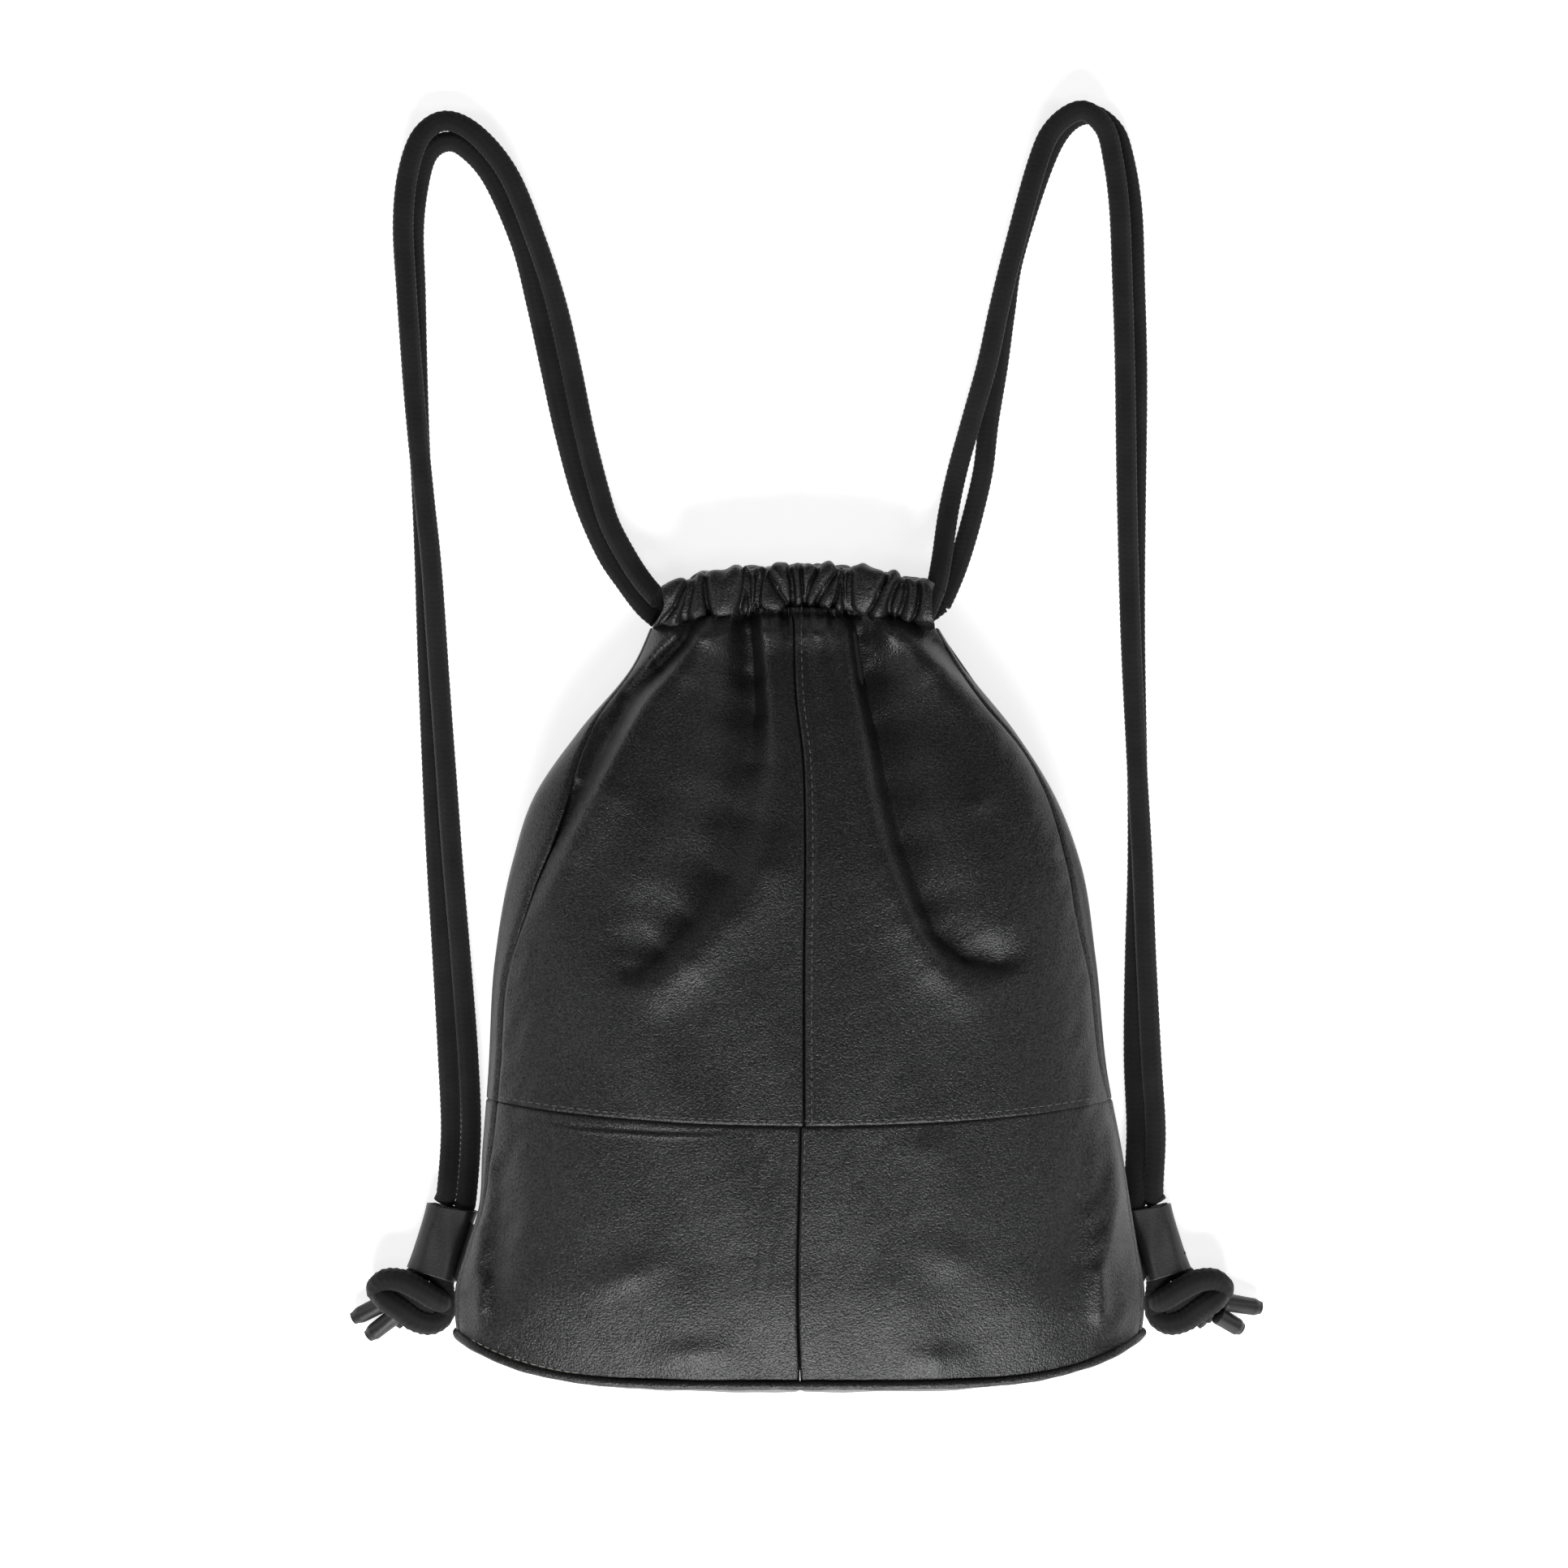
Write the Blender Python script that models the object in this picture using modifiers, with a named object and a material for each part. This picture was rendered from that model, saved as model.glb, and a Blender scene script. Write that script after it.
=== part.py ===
"""Leather drawstring backpack, lying on its back, as separate sewn and threaded pieces.

The origin is under the middle of the bag body, on the surface that it lies on.
+X is to the right seen from the front, +Y runs from the base to the neck, and
+Z comes out of the front. Lengths are in metres.
"""

import math

import bmesh
import bpy
import numpy as np
from mathutils import Vector

LEATHER = 0.0014
CLOTH = 0.0006
SEAM_GAP = 0.0008

# Bag body, as sections across its height: y, half width, thickness, height of the widest line.
SECTIONS = (
    (-0.2100, 0.1740, 0.088, 0.043),
    (-0.1700, 0.1785, 0.094, 0.044),
    (-0.1240, 0.1700, 0.094, 0.043),
    (-0.0740, 0.1630, 0.092, 0.042),
    (-0.0240, 0.1585, 0.090, 0.041),
    (0.0440, 0.1500, 0.084, 0.039),
    (0.0940, 0.1345, 0.076, 0.036),
    (0.1280, 0.1130, 0.068, 0.032),
    (0.1610, 0.0880, 0.058, 0.027),
    (0.1880, 0.0740, 0.048, 0.022),
)
NECK_Y = 0.1876
NECK_DIP = 0.0080
FRONT_ROUNDNESS = 2.5
BACK_FLAT = 0.72
BACK_CORNER = 0.35
SIDE_SEAM = math.radians(18)
SIDE_GAP = math.radians(0.9)
LINING_SIDE_GAP = math.radians(1.2)

SEAM_SIDE_Y = -0.0620
SEAM_MIDDLE_Y = -0.0735
BASE_SIDE_Y = -0.1830
BASE_MIDDLE_Y = -0.2055
BASE_CORNER_POWER = 5
BASE_BULGE = 0.0038
BASE_EDGE_DROP = 0.0042
WELT_RADIUS = 0.0022
BASE_RINGS = (1.0, 0.8, 0.55, 0.28, 0.001)
BASE_PANEL_POINTS = 14
BOARD_POINTS = 40
WELT_POINTS = 64
BOARD_THICKNESS = 0.0020
BOARD_SCALE = 0.80
BOARD_Y = -0.1945
LINING_INSET = 0.0044
LINING_BASE_GAP = 0.0180
LINING_NECK_GAP = 0.0020

# Gathered neck: a folded tunnel in front and one behind, with the mouth between them.
CASING_HALF_LENGTH = 0.0640
CASING_HEIGHT = 0.0270
CASING_DEPTH = 0.0150
CASING_WALL = 0.0009
CASING_MIDDLE_Y = 0.2017
CASING_FRONT_Z = 0.0372
CASING_BACK_Z = 0.0085

CASING_OPEN_END = 0.0235
CASING_OPEN_DEPTH = 0.0040
TURN_X = 0.0445
TUNNEL_X = (0.0420, 0.0210, 0.0, -0.0210, -0.0380)
RUN_POINT_SPACING = 0.0090

# Rope and its hardware. The leads take each rope from its tunnels to its exit from the neck.
HIGH_LANE_LEADS = (((0.0700, 0.1988, 0.0275), (0.0600, 0.1996, 0.0360)),
                   ((0.0600, 0.1996, 0.0092), (0.0675, 0.1960, 0.0105), (0.0705, 0.1900, 0.0170)))
LOW_LANE_LEADS = (((0.0700, 0.1950, 0.0262), (0.0672, 0.1908, 0.0310), (0.0600, 0.1886, 0.0362)),
                  ((0.0600, 0.1886, 0.0092), (0.0690, 0.1868, 0.0150)))
ROPE_RADIUS = 0.0050
ROPE_SPACING = 0.0108
STACK_SPACING = 0.0113
FLOOR_Z = 0.0051
LOOP_MOUTH = (0.1820, -0.1215, 0.0140)
LOOP_LEAN = math.radians(17.5)
LOOP_LENGTH = 0.0370
LOOP_WIDTH = 0.0242
LOOP_DEPTH = 0.0134
LOOP_WALL = 0.0013
EXIT_MIDDLE = (0.0830, 0.1930, 0.0220)
EXIT_SPACING = 0.0130
EXIT_GAP = 0.0045
MOUTH_GAP = 0.0008
STRAND_GAP = 0.0022
LANE_APPROACH = 0.0100
STRAND_POINT_SPACING = 0.0125
TAB_LENGTH = 0.0230
TAB_TOP_Z = 0.0440
TAB_THICKNESS = 0.0016
BACK_DESCENT = (0.0140, 0.0070, 0.0052)
FRONT_DESCENT = (0.0190, 0.0130, 0.0080)
KNOT_PLACE = (0.2035, -0.1730, 0.0148)
KNOT_RADII = (0.0178, 0.0155, 0.0146)
TIP_ROOT_RADIUS = 0.0048
TIP_END_RADIUS = 0.0034
TIP_ROOT_Z = 0.0110
TIP_END_Z = 0.0062
# Leather tips, as root and end in plan for the right-hand side and the left-hand side.
RIGHT_TIPS = (((0.2235, -0.1715), (0.2420, -0.1745)), ((0.2185, -0.1838), (0.2325, -0.1935)))
LEFT_TIPS = (((0.2235, -0.1750), (0.2400, -0.1830)), ((0.2150, -0.1868), (0.2285, -0.1975)))

# Strap strands from the neck round to the anchor loop, in plan: x, y.
LEFT_OUTER_STRAND = (
    (-0.0985, 0.2120), (-0.1068, 0.2300), (-0.1142, 0.2500), (-0.1235, 0.2840), (-0.1310, 0.3180),
    (-0.1385, 0.3520), (-0.1468, 0.3845), (-0.1615, 0.4180), (-0.1755, 0.4340), (-0.1860, 0.4375),
    (-0.1955, 0.4310), (-0.2005, 0.4140), (-0.2030, 0.3900), (-0.2020, 0.3580), (-0.2010, 0.3160),
    (-0.2000, 0.2810), (-0.1985, 0.2480), (-0.1972, 0.2140), (-0.1955, 0.1630), (-0.1935, 0.1110),
    (-0.1910, 0.0600), (-0.1880, 0.0090), (-0.1850, -0.0430), (-0.1835, -0.0820),
)
LEFT_INNER_STRAND = (
    (-0.0895, 0.2180), (-0.0992, 0.2350), (-0.1048, 0.2520), (-0.1130, 0.2840), (-0.1200, 0.3180),
    (-0.1278, 0.3520), (-0.1388, 0.3860), (-0.1528, 0.4195), (-0.1700, 0.4405), (-0.1860, 0.4480),
    (-0.1985, 0.4395), (-0.2055, 0.4190), (-0.2078, 0.3920), (-0.2060, 0.3580), (-0.2030, 0.3160),
    (-0.2000, 0.2820), (-0.1965, 0.2480), (-0.1930, 0.2140), (-0.1895, 0.1630), (-0.1858, 0.1110),
    (-0.1822, 0.0600), (-0.1780, 0.0090), (-0.1742, -0.0430), (-0.1727, -0.0820),
)
RIGHT_INNER_STRAND = (
    (0.0760, 0.2200), (0.0765, 0.2310), (0.0780, 0.2430), (0.0827, 0.2646), (0.0897, 0.2902),
    (0.0980, 0.3200), (0.1040, 0.3480), (0.1110, 0.3770), (0.1240, 0.4240), (0.1330, 0.4435),
    (0.1473, 0.4524), (0.1592, 0.4437), (0.1640, 0.4266), (0.1673, 0.4010), (0.1688, 0.3640),
    (0.1702, 0.3170), (0.1712, 0.2480), (0.1730, 0.1800), (0.1762, 0.1110), (0.1790, 0.0600),
    (0.1812, 0.0090), (0.1840, -0.0430), (0.1865, -0.0820),
)
RIGHT_OUTER_STRAND = (
    (0.0950, 0.2105), (0.0935, 0.2250), (0.0935, 0.2420), (0.0962, 0.2646), (0.0992, 0.2902),
    (0.1040, 0.3200), (0.1078, 0.3480), (0.1125, 0.3770), (0.1270, 0.4230), (0.1385, 0.4450),
    (0.1520, 0.4520), (0.1645, 0.4440), (0.1702, 0.4290), (0.1745, 0.4020), (0.1760, 0.3640),
    (0.1772, 0.3170), (0.1765, 0.2480), (0.1760, 0.1800), (0.1772, 0.1110), (0.1775, 0.0600),
    (0.1760, 0.0090), (0.1755, -0.0430), (0.1768, -0.0820),
)


def clear_scene():
    for obj in list(bpy.data.objects):
        bpy.data.objects.remove(obj)


def new_collection(name):
    collection = bpy.data.collections.new(name)
    bpy.context.scene.collection.children.link(collection)
    return collection


def add_material(obj, name, colour, roughness, metallic=0.0):
    material = bpy.data.materials.get(name)
    if material is None:
        material = bpy.data.materials.new(name)
        material.use_nodes = True
        shader = material.node_tree.nodes["Principled BSDF"]
        shader.inputs["Base Color"].default_value = (*colour, 1.0)
        shader.inputs["Roughness"].default_value = roughness
        shader.inputs["Metallic"].default_value = metallic
    obj.data.materials.append(material)


def leather(obj):
    add_material(obj, f"{obj.name}_leather", (0.020, 0.020, 0.021), 0.42)


def cloth(obj):
    add_material(obj, f"{obj.name}_cloth", (0.030, 0.030, 0.032), 0.90)


def rope_fibre(obj):
    add_material(obj, f"{obj.name}_rope", (0.010, 0.010, 0.011), 0.92)


def mesh_object(name, vertices, faces, collection):
    mesh = bpy.data.meshes.new(name)
    mesh.from_pydata([tuple(v) for v in vertices], [], faces)
    mesh.validate()
    obj = bpy.data.objects.new(name, mesh)
    collection.objects.link(obj)
    return obj


def hermite(x, table, column):
    """Read one column of a table at x, on a smooth curve through its rows."""
    xs = [row[0] for row in table]
    ys = [row[column] for row in table]
    slopes = np.gradient(ys, xs)
    x = min(max(x, xs[0]), xs[-1])
    i = min(max(int(np.searchsorted(xs, x)) - 1, 0), len(xs) - 2)
    step = xs[i + 1] - xs[i]
    t = (x - xs[i]) / step
    a = (1 + 2 * t) * (1 - t) ** 2 * ys[i] + t * (1 - t) ** 2 * step * slopes[i]
    b = t * t * (3 - 2 * t) * ys[i + 1] + t * t * (t - 1) * step * slopes[i + 1]
    return float(a + b)


def signed_power(value, power):
    return math.copysign(abs(value) ** power, value)


def section_point(y, angle, inset=0.0):
    """A point round the bag at height y: angle 0 is the right edge and 90 degrees the front."""
    half = hermite(y, SECTIONS, 1) - inset
    top = hermite(y, SECTIONS, 2) - inset
    edge = hermite(y, SECTIONS, 3)
    angle = (angle + math.pi) % (2 * math.pi) - math.pi
    if angle >= 0:
        power = 2 / FRONT_ROUNDNESS
        x = half * signed_power(math.cos(angle), power)
        z = edge + (top - edge) * math.sin(angle) ** power
        return Vector((x, y, z))
    side = 1 if angle > -math.pi / 2 else -1
    turn = min(-angle, math.pi + angle) / (math.pi / 2)
    if turn < BACK_CORNER:
        corner = turn / BACK_CORNER * math.pi / 2
        x = half * (BACK_FLAT + (1 - BACK_FLAT) * math.cos(corner))
        z = edge - (edge - inset) * math.sin(corner)
    else:
        x = half * BACK_FLAT * (1 - (turn - BACK_CORNER) / (1 - BACK_CORNER))
        z = inset
    return Vector((side * x, y, z))


def across(angle):
    """How far out to the side a point at this angle lies, from 0 at the middle to 1."""
    half = hermite(0.0, SECTIONS, 1)
    return min(abs(section_point(0.0, angle).x) / half, 1.0)


def base_seam_y(angle):
    rise = 1 - across(angle) ** BASE_CORNER_POWER
    return BASE_SIDE_Y + (BASE_MIDDLE_Y - BASE_SIDE_Y) * rise


def middle_seam_y(angle):
    rise = 1 - across(angle) ** 2
    return SEAM_SIDE_Y + (SEAM_MIDDLE_Y - SEAM_SIDE_Y) * rise


def neck_y(angle):
    out = across(angle) * hermite(NECK_Y, SECTIONS, 1)
    return NECK_Y - NECK_DIP * (out / CASING_HALF_LENGTH) ** 2


def angles_between(start, end, count):
    return [start + (end - start) * i / count for i in range(count + 1)]


def add_panel(name, angles, low, high, rows, collection, shift=0.0, inset=0.0, thickness=LEATHER):
    """A sewn panel: the bag's skin between two seams, made solid towards the inside."""
    vertices = []
    for row in range(rows + 1):
        for angle in angles:
            y = low(angle) + (high(angle) - low(angle)) * row / rows
            vertices.append(section_point(y, angle, inset) + Vector((shift, 0.0, 0.0)))
    wide = len(angles)
    faces = []
    for row in range(rows):
        for i in range(wide - 1):
            a = row * wide + i
            faces.append((a, a + wide, a + wide + 1, a + 1))
    obj = mesh_object(name, vertices, faces, collection)
    solid = obj.modifiers.new("thickness", "SOLIDIFY")
    solid.thickness = thickness
    solid.offset = -1.0
    solid.use_rim = True
    obj.data.shade_smooth()
    obj.data.set_sharp_from_angle(angle=math.radians(40))
    return obj


def back_angles(end):
    """Angles from the middle of the back round its right corner to the front's edge."""
    corner = BACK_CORNER * math.pi / 2
    angles = angles_between(-math.pi / 2, -corner, 2)
    angles += angles_between(-corner, 0.0, 5)[1:]
    angles += angles_between(0.0, end, 3)[1:]
    return angles


def add_bag_panels(collection):
    right_front = angles_between(SIDE_SEAM + SIDE_GAP, math.pi / 2, 9)
    right_back = back_angles(SIDE_SEAM - SIDE_GAP)
    spans = {
        ("front", "right", 1): right_front,
        ("front", "left", -1): [math.pi - angle for angle in reversed(right_front)],
        ("back", "right", 1): right_back,
        ("back", "left", -1): [math.pi - angle for angle in reversed(right_back)],
    }

    def above_base(angle):
        return base_seam_y(angle) + SEAM_GAP + WELT_RADIUS

    def below_middle(angle):
        return middle_seam_y(angle) - SEAM_GAP / 2

    def above_middle(angle):
        return middle_seam_y(angle) + SEAM_GAP / 2

    for (face, name, side), angles in spans.items():
        shift = side * SEAM_GAP / 2
        leather(add_panel(f"{face}_upper_{name}_panel", angles, above_middle, neck_y, 9,
                          collection, shift))
        leather(add_panel(f"{face}_lower_{name}_panel", angles, above_base, below_middle, 5,
                          collection, shift))


def add_lining(collection):
    """The cloth bag inside, in a front and a back half."""
    def low(angle):
        return base_seam_y(angle) + LINING_BASE_GAP

    def high(angle):
        return neck_y(angle) - LINING_NECK_GAP

    start = SIDE_SEAM + LINING_SIDE_GAP
    front = angles_between(start, math.pi - start, 14)
    right = back_angles(SIDE_SEAM - LINING_SIDE_GAP)
    back = [-math.pi - angle for angle in reversed(right)][:-1] + right
    for name, angles in (("lining_front", front), ("lining_back", back)):
        cloth(add_panel(name, angles, low, high, 8, collection, 0.0, LINING_INSET, CLOTH))


def base_ring(scale, count, side=0):
    """Points on the base seam, all round or on one side of the centre seam only."""
    if side == 0:
        angles = [2 * math.pi * i / count for i in range(count)]
    else:
        angles = angles_between(-math.pi / 2, math.pi / 2, count)
    points = []
    for angle in angles:
        point = section_point(base_seam_y(angle), angle)
        middle = Vector((0.0, BASE_MIDDLE_Y, 0.5 * hermite(point.y, SECTIONS, 2)))
        sideways = Vector((point.x, 0.0, point.z - middle.z)) * scale
        rise = (point.y - BASE_MIDDLE_Y) * scale ** BASE_CORNER_POWER
        points.append(middle + sideways + Vector((0.0, rise, 0.0)))
    if side < 0:
        points = [Vector((-p.x, p.y, p.z)) for p in reversed(points)]
    return points


def add_base(collection):
    """Two halves of the oval base, its stiffening board and the rolled welt in its seam."""
    for side, name in ((1, "base_right_panel"), (-1, "base_left_panel")):
        vertices = []
        for ring in BASE_RINGS:
            for p in base_ring(ring, BASE_PANEL_POINTS, side):
                bulge = BASE_BULGE * (1 - ring ** 2) + BASE_EDGE_DROP
                p.y -= bulge
                p.x = side * max(side * p.x, 0.0) + side * SEAM_GAP / 2
                vertices.append(p)
        faces = []
        wide = BASE_PANEL_POINTS + 1
        for row in range(len(BASE_RINGS) - 1):
            for i in range(wide - 1):
                a = row * wide + i
                faces.append((a, a + 1, a + wide + 1, a + wide))
        obj = mesh_object(name, vertices, faces, collection)
        solid = obj.modifiers.new("thickness", "SOLIDIFY")
        solid.thickness = LEATHER
        solid.offset = -1.0
        obj.data.shade_smooth()
        leather(obj)
    board = mesh_object("base_board", [], [], collection)
    shape = bmesh.new()
    rows = []
    for depth in (0.0, BOARD_THICKNESS):
        ring = base_ring(BOARD_SCALE, BOARD_POINTS)
        rows.append([shape.verts.new((p.x, BOARD_Y + depth, p.z)) for p in ring])
    shape.faces.new(list(reversed(rows[1])))
    shape.faces.new(rows[0])
    for i in range(BOARD_POINTS):
        j = (i + 1) % BOARD_POINTS
        shape.faces.new((rows[0][j], rows[0][i], rows[1][i], rows[1][j]))
    bmesh.ops.recalc_face_normals(shape, faces=shape.faces)
    shape.to_mesh(board.data)
    shape.free()
    add_material(board, "base_board_fibre", (0.12, 0.10, 0.08), 0.85)


def smooth_route(points, spacing):
    """Points at an even spacing along a Catmull-Rom curve through the route's own points."""
    route = [Vector(p) for p in points]
    route = [2 * route[0] - route[1]] + route + [2 * route[-1] - route[-2]]
    fine = []
    for i in range(1, len(route) - 2):
        p0, p1, p2, p3 = route[i - 1:i + 3]
        for k in range(12):
            t = k / 12
            fine.append(0.5 * (2 * p1 + (p2 - p0) * t
                               + (2 * p0 - 5 * p1 + 4 * p2 - p3) * t * t
                               + (3 * p1 - p0 - 3 * p2 + p3) * t ** 3))
    fine.append(route[-2])
    lengths = [0.0]
    for a, b in zip(fine, fine[1:]):
        lengths.append(lengths[-1] + (b - a).length)
    count = max(2, round(lengths[-1] / spacing))
    even = []
    for k in range(count + 1):
        at = lengths[-1] * k / count
        even.append(Vector([np.interp(at, lengths, [p[axis] for p in fine]) for axis in range(3)]))
    return even


def add_tube(name, points, collection, radius=ROPE_RADIUS, closed=False, radii=None):
    """A round tube along points, with flat filled ends unless it closes on itself."""
    curve = bpy.data.curves.new(name, "CURVE")
    curve.dimensions = "3D"
    curve.bevel_depth = radius
    curve.bevel_resolution = 2
    curve.use_fill_caps = True
    spline = curve.splines.new("POLY")
    spline.points.add(len(points) - 1)
    for i, point in enumerate(points):
        spline.points[i].co = (*point, 1.0)
        if radii:
            spline.points[i].radius = radii[i]
    spline.use_cyclic_u = closed
    obj = bpy.data.objects.new(name, curve)
    collection.objects.link(obj)
    return obj


def add_welt(collection):
    ring = base_ring(1.0, WELT_POINTS)
    leather(add_tube("base_welt", ring, collection, WELT_RADIUS, closed=True))


def oblong(width, height, corner_steps=5):
    """A stadium outline, round at both ends of its width."""
    radius = height / 2
    reach = width / 2 - radius
    points = []
    for side, start in ((1, -math.pi / 2), (-1, math.pi / 2)):
        for k in range(corner_steps + 1):
            angle = start + math.pi * k / corner_steps
            points.append((side * reach + radius * math.cos(angle), radius * math.sin(angle)))
    return points


def add_sleeve(name, frames, width, depth, wall, collection):
    """A flattened leather tube, open at both ends, swept through (place, across, up) frames."""
    outer = oblong(width, depth)
    inner = oblong(width - 2 * wall, depth - 2 * wall)
    count = len(outer)
    vertices = []
    for place, sideways, up in frames:
        for outline in (outer, inner):
            vertices += [place + sideways * u + up * v for u, v in outline]
    faces = []
    for row in range(len(frames) - 1):
        for i in range(count):
            j = (i + 1) % count
            a = row * 2 * count
            b = a + 2 * count
            faces.append((a + i, a + j, b + j, b + i))
            faces.append((a + count + j, a + count + i, b + count + i, b + count + j))
    for row, flip in ((0, False), (len(frames) - 1, True)):
        for i in range(count):
            j = (i + 1) % count
            a = row * 2 * count
            face = (a + j, a + i, a + count + i, a + count + j)
            faces.append(tuple(reversed(face)) if flip else face)
    obj = mesh_object(name, vertices, faces, collection)
    shape = bmesh.new()
    shape.from_mesh(obj.data)
    bmesh.ops.recalc_face_normals(shape, faces=shape.faces)
    shape.to_mesh(obj.data)
    shape.free()
    obj.data.shade_smooth()
    obj.data.set_sharp_from_angle(angle=math.radians(50))
    leather(obj)
    return obj


def casing_y(x):
    return CASING_MIDDLE_Y - NECK_DIP * (x / CASING_HALF_LENGTH) ** 2


def add_box_cutter(name, low, high, cutters):
    bpy.ops.mesh.primitive_cube_add(size=1.0)
    box = bpy.context.object
    box.name = name
    box.location = (Vector(low) + Vector(high)) / 2
    box.scale = Vector(high) - Vector(low)
    bpy.ops.object.transform_apply(location=False, rotation=False, scale=True)
    box.hide_render = True
    box.display_type = "WIRE"
    for user in list(box.users_collection):
        user.objects.unlink(box)
    cutters.objects.link(box)
    return box


def add_boolean(obj, other, operation):
    change = obj.modifiers.new(other.name, "BOOLEAN")
    change.operation = operation
    change.solver = "EXACT"
    change.object = other


def add_casings(collection, cutters):
    """Front and back tunnels, opened towards each other near their ends for the rope's turn."""
    open_from = CASING_HALF_LENGTH - CASING_OPEN_END
    low_z = CASING_BACK_Z + CASING_OPEN_DEPTH
    high_z = CASING_FRONT_Z - CASING_OPEN_DEPTH
    ends = []
    for side in (-1, 1):
        inner, outer = sorted((side * open_from, side * (CASING_HALF_LENGTH + 0.010)))
        ends.append(add_box_cutter(f"casing_end_cutter_{side + 1}", (inner, 0.160, low_z),
                                   (outer, 0.240, high_z), cutters))
    for name, z in (("casing_front", CASING_FRONT_Z), ("casing_back", CASING_BACK_Z)):
        frames = []
        for k in range(11):
            x = CASING_HALF_LENGTH * (2 * k / 10 - 1)
            place = Vector((x, casing_y(x), z))
            frames.append((place, Vector((0, 1, 0)), Vector((0, 0, 1))))
        casing = add_sleeve(name, frames, CASING_HEIGHT, CASING_DEPTH, CASING_WALL, collection)
        for cutter in ends:
            add_boolean(casing, cutter, "DIFFERENCE")


def hinge_line(side):
    """The strap's swing axis: from the anchor loop's mouth to the neck exit."""
    mouth = Vector((side * LOOP_MOUTH[0], LOOP_MOUTH[1], LOOP_MOUTH[2]))
    neck = Vector((side * EXIT_MIDDLE[0], EXIT_MIDDLE[1], EXIT_MIDDLE[2]))
    return mouth, neck, (neck - mouth).normalized()


def exit_point(side, upper):
    """Where one of the two strands leaves the neck, on the swing axis."""
    mouth, neck, along = hinge_line(side)
    return neck + along * EXIT_SPACING / 2 * (1 if upper else -1)


def loop_frame(side):
    """The anchor loop's directions: outwards along it, and across it in plan."""
    down = Vector((side * math.sin(LOOP_LEAN), -math.cos(LOOP_LEAN), 0.0))
    sideways = Vector((side * math.cos(LOOP_LEAN), math.sin(LOOP_LEAN), 0.0))
    return down, sideways


def add_casing_run(name, side, collection):
    """The rope inside both tunnels, turning back from one to the other at the far side."""
    high_lane = side < 0
    lane = ROPE_SPACING / 2 * (1 if high_lane else -1)
    front_lead, back_lead = HIGH_LANE_LEADS if high_lane else LOW_LANE_LEADS
    middle = (CASING_FRONT_Z + CASING_BACK_Z) / 2
    radius = (CASING_FRONT_Z - CASING_BACK_Z) / 2
    stop = ROPE_RADIUS + EXIT_GAP
    ends = []
    for upper in (True, False):
        point = exit_point(side, upper)
        ends.append(Vector((point.x - side * stop, point.y, point.z)))
    tunnel = [side * x for x in TUNNEL_X]
    points = [ends[0]]
    points += [Vector((side * x, y, z)) for x, y, z in front_lead]
    points += [Vector((x, casing_y(x) + lane, CASING_FRONT_Z)) for x in tunnel]
    for k in range(9):
        angle = math.pi * k / 8
        x = -side * (TURN_X + radius * math.sin(angle))
        points.append(Vector((x, casing_y(x) + lane, middle + radius * math.cos(angle))))
    points += [Vector((x, casing_y(x) + lane, CASING_BACK_Z)) for x in reversed(tunnel)]
    points += [Vector((side * x, y, z)) for x, y, z in back_lead]
    points.append(ends[1])
    rope_fibre(add_tube(name, smooth_route(points, RUN_POINT_SPACING), collection))


def resting_heights(route, below):
    """Heights for a strand that lies on the floor, or on the strand below where they meet."""
    low = smooth_route([(x, y, 0.0) for x, y in below], 0.003)
    heights = []
    for x, y in route:
        apart = min((Vector((x, y, 0.0)) - p).length for p in low)
        lift = math.sqrt(max(STACK_SPACING ** 2 - apart ** 2, 0.0))
        heights.append(FLOOR_Z + lift)
    return heights


def add_strand(name, side, route, upper, outer_lane, below, collection):
    """A strap strand: round end at the neck, along the floor, and up to the loop's mouth."""
    mouth = hinge_line(side)[0]
    down, sideways = loop_frame(side)
    start = exit_point(side, upper)
    heights = resting_heights(route, below) if below else [FLOOR_Z] * len(route)
    descent = FRONT_DESCENT if below else BACK_DESCENT
    for i, least in enumerate(descent[1:]):
        heights[i] = max(heights[i], least)
    first = (start.x + route[0][0]) / 2, (start.y + route[0][1]) / 2
    points = [start, Vector((*first, descent[0]))]
    points += [Vector((x, y, z)) for (x, y), z in zip(route, heights)]
    lane = mouth + sideways * (ROPE_SPACING / 2 * (1 if outer_lane else -1))
    points.append(lane - down * LANE_APPROACH)
    points.append(lane - down * STRAND_GAP)
    spaced = smooth_route(points, STRAND_POINT_SPACING)
    direction = (spaced[1] - start).normalized()
    cap = []
    radii = []
    for degrees in (15, 40, 65, 90):
        turn = math.radians(degrees)
        cap.append(start - direction * ROPE_RADIUS * math.cos(turn))
        radii.append(math.sin(turn))
    radii += [1.0] * (len(spaced) - 1)
    rope_fibre(add_tube(name, cap + spaced[1:], collection, radii=radii))


def add_anchor_loop(name, side, collection, cutters):
    """A leather strip folded round both strands, with a tab up to the bag's side seam."""
    mouth = hinge_line(side)[0]
    down, sideways = loop_frame(side)
    frames = [(mouth + down * LOOP_LENGTH * k / 4, sideways, Vector((0, 0, 1))) for k in range(5)]
    loop = add_sleeve(name, frames, LOOP_WIDTH, LOOP_DEPTH, LOOP_WALL, collection)
    low = LOOP_MOUTH[2] + LOOP_DEPTH * 0.12
    size = Vector((TAB_LENGTH, TAB_THICKNESS, TAB_TOP_Z - low))
    tab = add_box_cutter(f"{name}_tab", -size / 2, size / 2, cutters)
    middle = mouth + down * (LOOP_LENGTH * 0.62)
    middle -= sideways * (LOOP_WIDTH / 2 - TAB_THICKNESS * 0.30)
    tab.location = (middle.x, middle.y, (low + TAB_TOP_Z) / 2)
    tab.rotation_euler.z = math.atan2(down.y, down.x)
    add_boolean(loop, tab, "UNION")


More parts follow.
